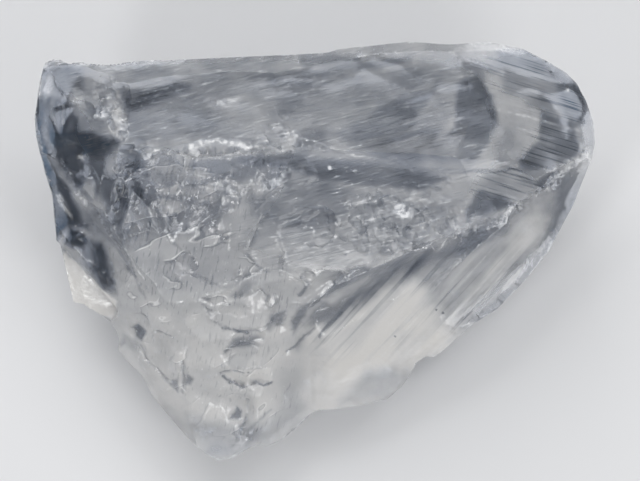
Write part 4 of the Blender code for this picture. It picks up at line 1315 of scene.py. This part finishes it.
def cloud(scale, detail=4, turn=0, stretch=(1, 1, 1)):
    """A noise pattern, with its scale counted in hills per millimetre."""
    place = node("ShaderNodeMapping")
    place.inputs["Rotation"].default_value = (0, 0, math.radians(-turn))
    wire(coordinates, place.inputs["Vector"])
    squeeze = node("ShaderNodeMapping")
    squeeze.inputs["Scale"].default_value = stretch
    wire(place.outputs["Vector"], squeeze.inputs["Vector"])
    hills = node("ShaderNodeTexNoise")
    hills.inputs["Scale"].default_value = scale / MM
    hills.inputs["Detail"].default_value = detail
    wire(squeeze.outputs["Vector"], hills.inputs["Vector"])
    return hills.outputs["Fac"]


print("coordinates:", coordinates.name)

# %% [markdown]
# The other helpers do sums: one changes a range of numbers into another, and the rest multiply and
# add.

# %% Ranges and sums
def spread(source, from_low, from_high, to_low, to_high):
    """Maps one range of numbers to another, with soft ends."""
    change = node("ShaderNodeMapRange", interpolation_type="SMOOTHSTEP")
    names = ("From Min", "From Max", "To Min", "To Max")
    for name, value in zip(names, (from_low, from_high, to_low, to_high)):
        change.inputs[name].default_value = value
    wire(source, change.inputs["Value"])
    return change.outputs["Result"]


def reckon(operation, first, second):
    """One sum on two numbers, each a socket or a plain value."""
    sum_node = node("ShaderNodeMath", operation=operation)
    for socket, value in zip(sum_node.inputs, (first, second)):
        if isinstance(value, (int, float)):
            socket.default_value = value
        else:
            wire(value, socket)
    return sum_node.outputs["Value"]


def times(first, second):
    """One number multiplied by another."""
    return reckon("MULTIPLY", first, second)


def total_of(*parts):
    """Adds up any number of sockets or values."""
    total = parts[0]
    for part in parts[1:]:
        total = reckon("ADD", total, part)
    return total


print("nodes so far:", len(tree.nodes))

# %% [markdown]
# Every kind of line is a noise that is stretched along the way in which its lines run. The low
# parts of the noise are read as dark lines and its high parts as bright ones, so each pair shares
# one noise.

# %% Fine lines
def stored(name):
    """A value that is stored on the points."""
    return node("ShaderNodeAttribute", attribute_name=name).outputs["Fac"]


LINES = (
    # part, (hills per mm, detail, turn, stretch), and where in the noise the dark lines and the
    # bright ones start and end, and how strong they are
    ("upper", (7.0, 1, -17, (0.022, 1, 0.05)), (0.34, 0.44, 0.5), (0.56, 0.68, 0.5)),
    ("band", (2.4, 2, 48, (0.03, 1, 0.08)), (0.34, 0.46, 0.4), (0.56, 0.68, 0.5)),
    ("fan", (6.0, 2, 14, (0.1, 1, 0.2)), (0.32, 0.46, 0.2), (0.58, 0.68, 0.8)),
    ("tip", (5.0, 2, 78, (0.14, 1, 0.3)), (0.30, 0.42, 0.3), (0.60, 0.70, 0.4)),
)
milk_socket, frost_and_highlights_socket = stored("milk"), stored("frost_and_highlights")
part, lines, dark, bright = {}, {}, {}, {}
for name, pattern, (black, grey, darkness), (dull, white, brightness) in LINES:
    part[name] = stored(name)
    lines[name] = cloud(*pattern)
    dark[name] = times(part[name], spread(lines[name], black, grey, darkness, 0))
    bright[name] = times(part[name], spread(lines[name], dull, white, 0, brightness))
dark_lines = total_of(*dark.values())
bright_lines = total_of(*bright.values())
print("nodes with lines:", len(tree.nodes))

# %% [markdown]
# The skin of the worn tip is broken into thin terraces. The fraction of a noise that has been
# multiplied gives them: it rises slowly and then drops at once, and each drop is the edge of a
# terrace. Each edge gets a painted shade at the drop and a painted highlight just before it, as a
# small step would show in the light.

# %% Terraces in the worn tip
scales = reckon("FRACT", times(cloud(0.2, 3, 20, (0.35, 1, 0.6)), 8), 0)
broken = times(part["tip"], spread(cloud(0.35, 1), 0.45, 0.58, 0, 1))
# painted shade at the drop of each terrace, and a painted highlight just before it
terrace_edge_shade = reckon("ADD", spread(scales, 0.0, 0.06, 0.35, 0), spread(scales, 0.97, 1.0, 0, 0.35))
terrace_edge_highlights = times(spread(scales, 0.86, 0.92, 0, 1), spread(scales, 0.94, 0.97, 1, 0))
dark_lines = reckon("ADD", dark_lines, times(broken, terrace_edge_shade))
bright_lines = reckon("ADD", bright_lines, times(broken, terrace_edge_highlights))
print("nodes with terraces:", len(tree.nodes))

# %% [markdown]
# Milkiness starts from the painted value. A faint veil, the streaks of the band and a painted shade
# for the lean of each terrace are added, and dark lines are taken away.

# %% How milky it is
veil = spread(cloud(0.35, 3), 0.3, 0.7, -0.05, 0.05)
streaks = spread(cloud(0.7, 2, 48, (0.1, 1, 0.2)), 0.3, 0.7, -0.12, 0.12)
# painted shade: each terrace is toned by its lean
terrace_lean_shade = times(broken, times(reckon("SUBTRACT", scales, 0.5), 0.1))
milkiness = total_of(milk_socket, veil, times(part["band"], streaks), terrace_lean_shade)
milkiness = reckon("SUBTRACT", milkiness, times(dark_lines, 0.38))
print("nodes with milkiness:", len(tree.nodes))

# %% [markdown]
# Frost isn't even: some grains of it face the window and some don't. Random cells about 0.4 mm wide
# make each patch of frost brighter or weaker, a painted glitter, and a few cells of the bare stone
# get a painted glint.

# %% How white it is
GRAINS = 2.6  # grains of frost on a millimetre
sparkle = node("ShaderNodeTexVoronoi")
sparkle.inputs["Scale"].default_value = GRAINS / MM
wire(coordinates, sparkle.inputs["Vector"])
glitter = spread(sparkle.outputs["Color"], 0.1, 0.9, 0.45, 1.15)
in_the_middle = spread(sparkle.outputs["Distance"], 0.12, 0.22, 1, 0)
# painted glints on single cells of the bare stone
glint_specks = times(in_the_middle, spread(sparkle.outputs["Color"], 0.66, 0.74, 0, 0.4))
glinting_part = reckon("MAXIMUM", part["fan"], times(part["tip"], 0.5))
whiteness = times(reckon("ADD", frost_and_highlights_socket, times(bright_lines, 0.36)), glitter)
whiteness = reckon("ADD", whiteness, times(glint_specks, glinting_part))
print("nodes with whiteness:", len(tree.nodes))

# %% [markdown]
# One ramp turns milkiness into colour. A clear place is painted a cold dark blue-grey, a painted
# shade for the dark that one sees through it, and the milkier it gets, the warmer it is, because
# cracks scatter the blue light first. Frost and the painted highlights are laid over that in plain
# white.

# %% Colour
ramp = node("ShaderNodeValToRGB")
# painted shade: the clear end of the ramp is the dark seen through the stone
ramp.color_ramp.elements[0].color = (0.045, 0.085, 0.155, 1)
ramp.color_ramp.elements[1].color = (1.0, 0.97, 0.93, 1)
for place, colour in ((0.25, (0.62, 0.665, 0.75, 1)), (0.5, (0.83, 0.837, 0.855, 1))):
    ramp.color_ramp.elements.new(place).color = colour
wire(milkiness, ramp.inputs["Fac"])
whiten = node("ShaderNodeMix", data_type="RGBA")
wire(whiteness, whiten.inputs["Factor"])
wire(ramp.outputs["Color"], whiten.inputs["A"])
whiten.inputs["B"].default_value = (0.98, 0.98, 0.98, 1)
wire(whiten.outputs["Result"], shader.inputs["Base Color"])
print("colours on the ramp:", len(ramp.color_ramp.elements))

# %% [markdown]
# Milky and frosted places let less light through. The ribbed parts are matt, the bare breaks shine,
# and the clearest hollows are kept a little rough, so that no lamp is mirrored in them as a hard
# spot.

# %% How clear and how shiny
clear = times(spread(milkiness, 0.0, 1.0, 1.0, 0.35), spread(whiteness, 0, 0.8, 1, 0.15))
wire(clear, shader.inputs["Transmission Weight"])
rough = total_of(
    times(reckon("MAXIMUM", part["fan"], part["upper"]), 0.22),
    times(frost_and_highlights_socket, 0.2),
    times(part["band"], 0.12),
    spread(milkiness, 0.0, 0.35, 0.24, 0.1),
)
wire(rough, shader.inputs["Roughness"])
print("nodes with shine:", len(tree.nodes))

# %% [markdown]
# The body of the stone takes a little light away on every millimetre, so that thick places are
# darker than thin edges. The finest scratches and grains, far smaller than the net, are given as
# bump.

# %% Inside and finest relief
ABSORPTION = 80  # part of the light that is lost on each metre of stone
RELIEF_DEPTH = 0.04 * MM
inside = node("ShaderNodeVolumeAbsorption")
inside.inputs["Color"].default_value = (0.5, 0.53, 0.58, 1)
inside.inputs["Density"].default_value = ABSORPTION
wire(inside.outputs["Volume"], tree.nodes["Material Output"].inputs["Volume"])
relief = node("ShaderNodeBump")
relief.inputs["Distance"].default_value = RELIEF_DEPTH
relief.inputs["Strength"].default_value = 1.0
grit = cloud(3.0, 2)
height = total_of(
    reckon("SUBTRACT", spread(grit, 0.2, 0.8, 0.0, 0.3), dark["upper"]),
    times(part["fan"], lines["fan"]),
    times(part["tip"], times(lines["tip"], 0.4)),
    times(broken, scales),
)
wire(height, relief.inputs["Height"])
wire(relief.outputs["Normal"], shader.inputs["Normal"])
print("nodes in all:", len(tree.nodes))

# %% [markdown]
# The finished stone takes the material and takes the place of the plain solid. It rides on the
# part's only body, and it keeps the material slot of the solid.

# %% Dress the part
mesh.materials.clear()
mesh.materials.append(stone_material)
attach(stone, "root")
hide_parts(STONE_NODE)
print("dressed:", STONE_NODE)

# %% [markdown]
# A plain pale floor lets the shadow and the light that comes through the stone be seen. It lies a
# hair below the stone, so that the two surfaces don't share one plane.

# %% Floor
FLOOR_GAP = 0.05 * MM
bpy.ops.mesh.primitive_plane_add(size=3, location=(0, 0, -FLOOR_GAP))
floor = bpy.context.object
floor.name = "floor"
floor_material = bpy.data.materials.new("floor")
floor_material.use_nodes = True
floor_shader = floor_material.node_tree.nodes["Principled BSDF"]
floor_shader.inputs["Base Color"].default_value = (0.75, 0.75, 0.76, 1)
floor_shader.inputs["Roughness"].default_value = 0.8
floor.data.materials.append(floor_material)
print("the floor lies", round(FLOOR_GAP / MM, 2), "mm below the stone")

# %% [markdown]
# Glassy stone is read by what it mirrors, so the lamps are large and soft, like windows. The
# strongest one stands behind the stone and low enough to rake over the ribs, and weak ones fill the
# shadows in front.

# %% Light
world = bpy.data.worlds.new("studio")
bpy.context.scene.world = world
world.use_nodes = True
world.node_tree.nodes["Background"].inputs["Color"].default_value = (0.96, 0.98, 1.0, 1)
world.node_tree.nodes["Background"].inputs["Strength"].default_value = 0.42


def softbox(name, place, size, watts):
    """A square lamp that looks at the stone."""
    lamp = bpy.data.lights.new(name, "AREA")
    lamp.energy = watts
    lamp.size = size
    lamp_object = bpy.data.objects.new(name, lamp)
    bpy.context.scene.collection.objects.link(lamp_object)
    lamp_object.location = place
    lamp_object.rotation_euler = (-Vector(place)).to_track_quat("-Z", "Y").to_euler()


LAMPS = (
    # name, place, size, watts
    ("window", (-0.15, 0.42, 0.36), 0.36, 1.6),
    ("window_two", (0.25, 0.30, 0.42), 0.2, 0.5),
    ("fill", (0.35, -0.35, 0.35), 0.24, 0.9),
    ("fill_two", (-0.30, -0.25, 0.42), 0.14, 0.5),
)
for row in LAMPS:
    softbox(*row)
bpy.context.scene.view_settings.view_transform = "Standard"
print("lamps:", len(LAMPS), "watts in all:", round(sum(row[3] for row in LAMPS), 1))
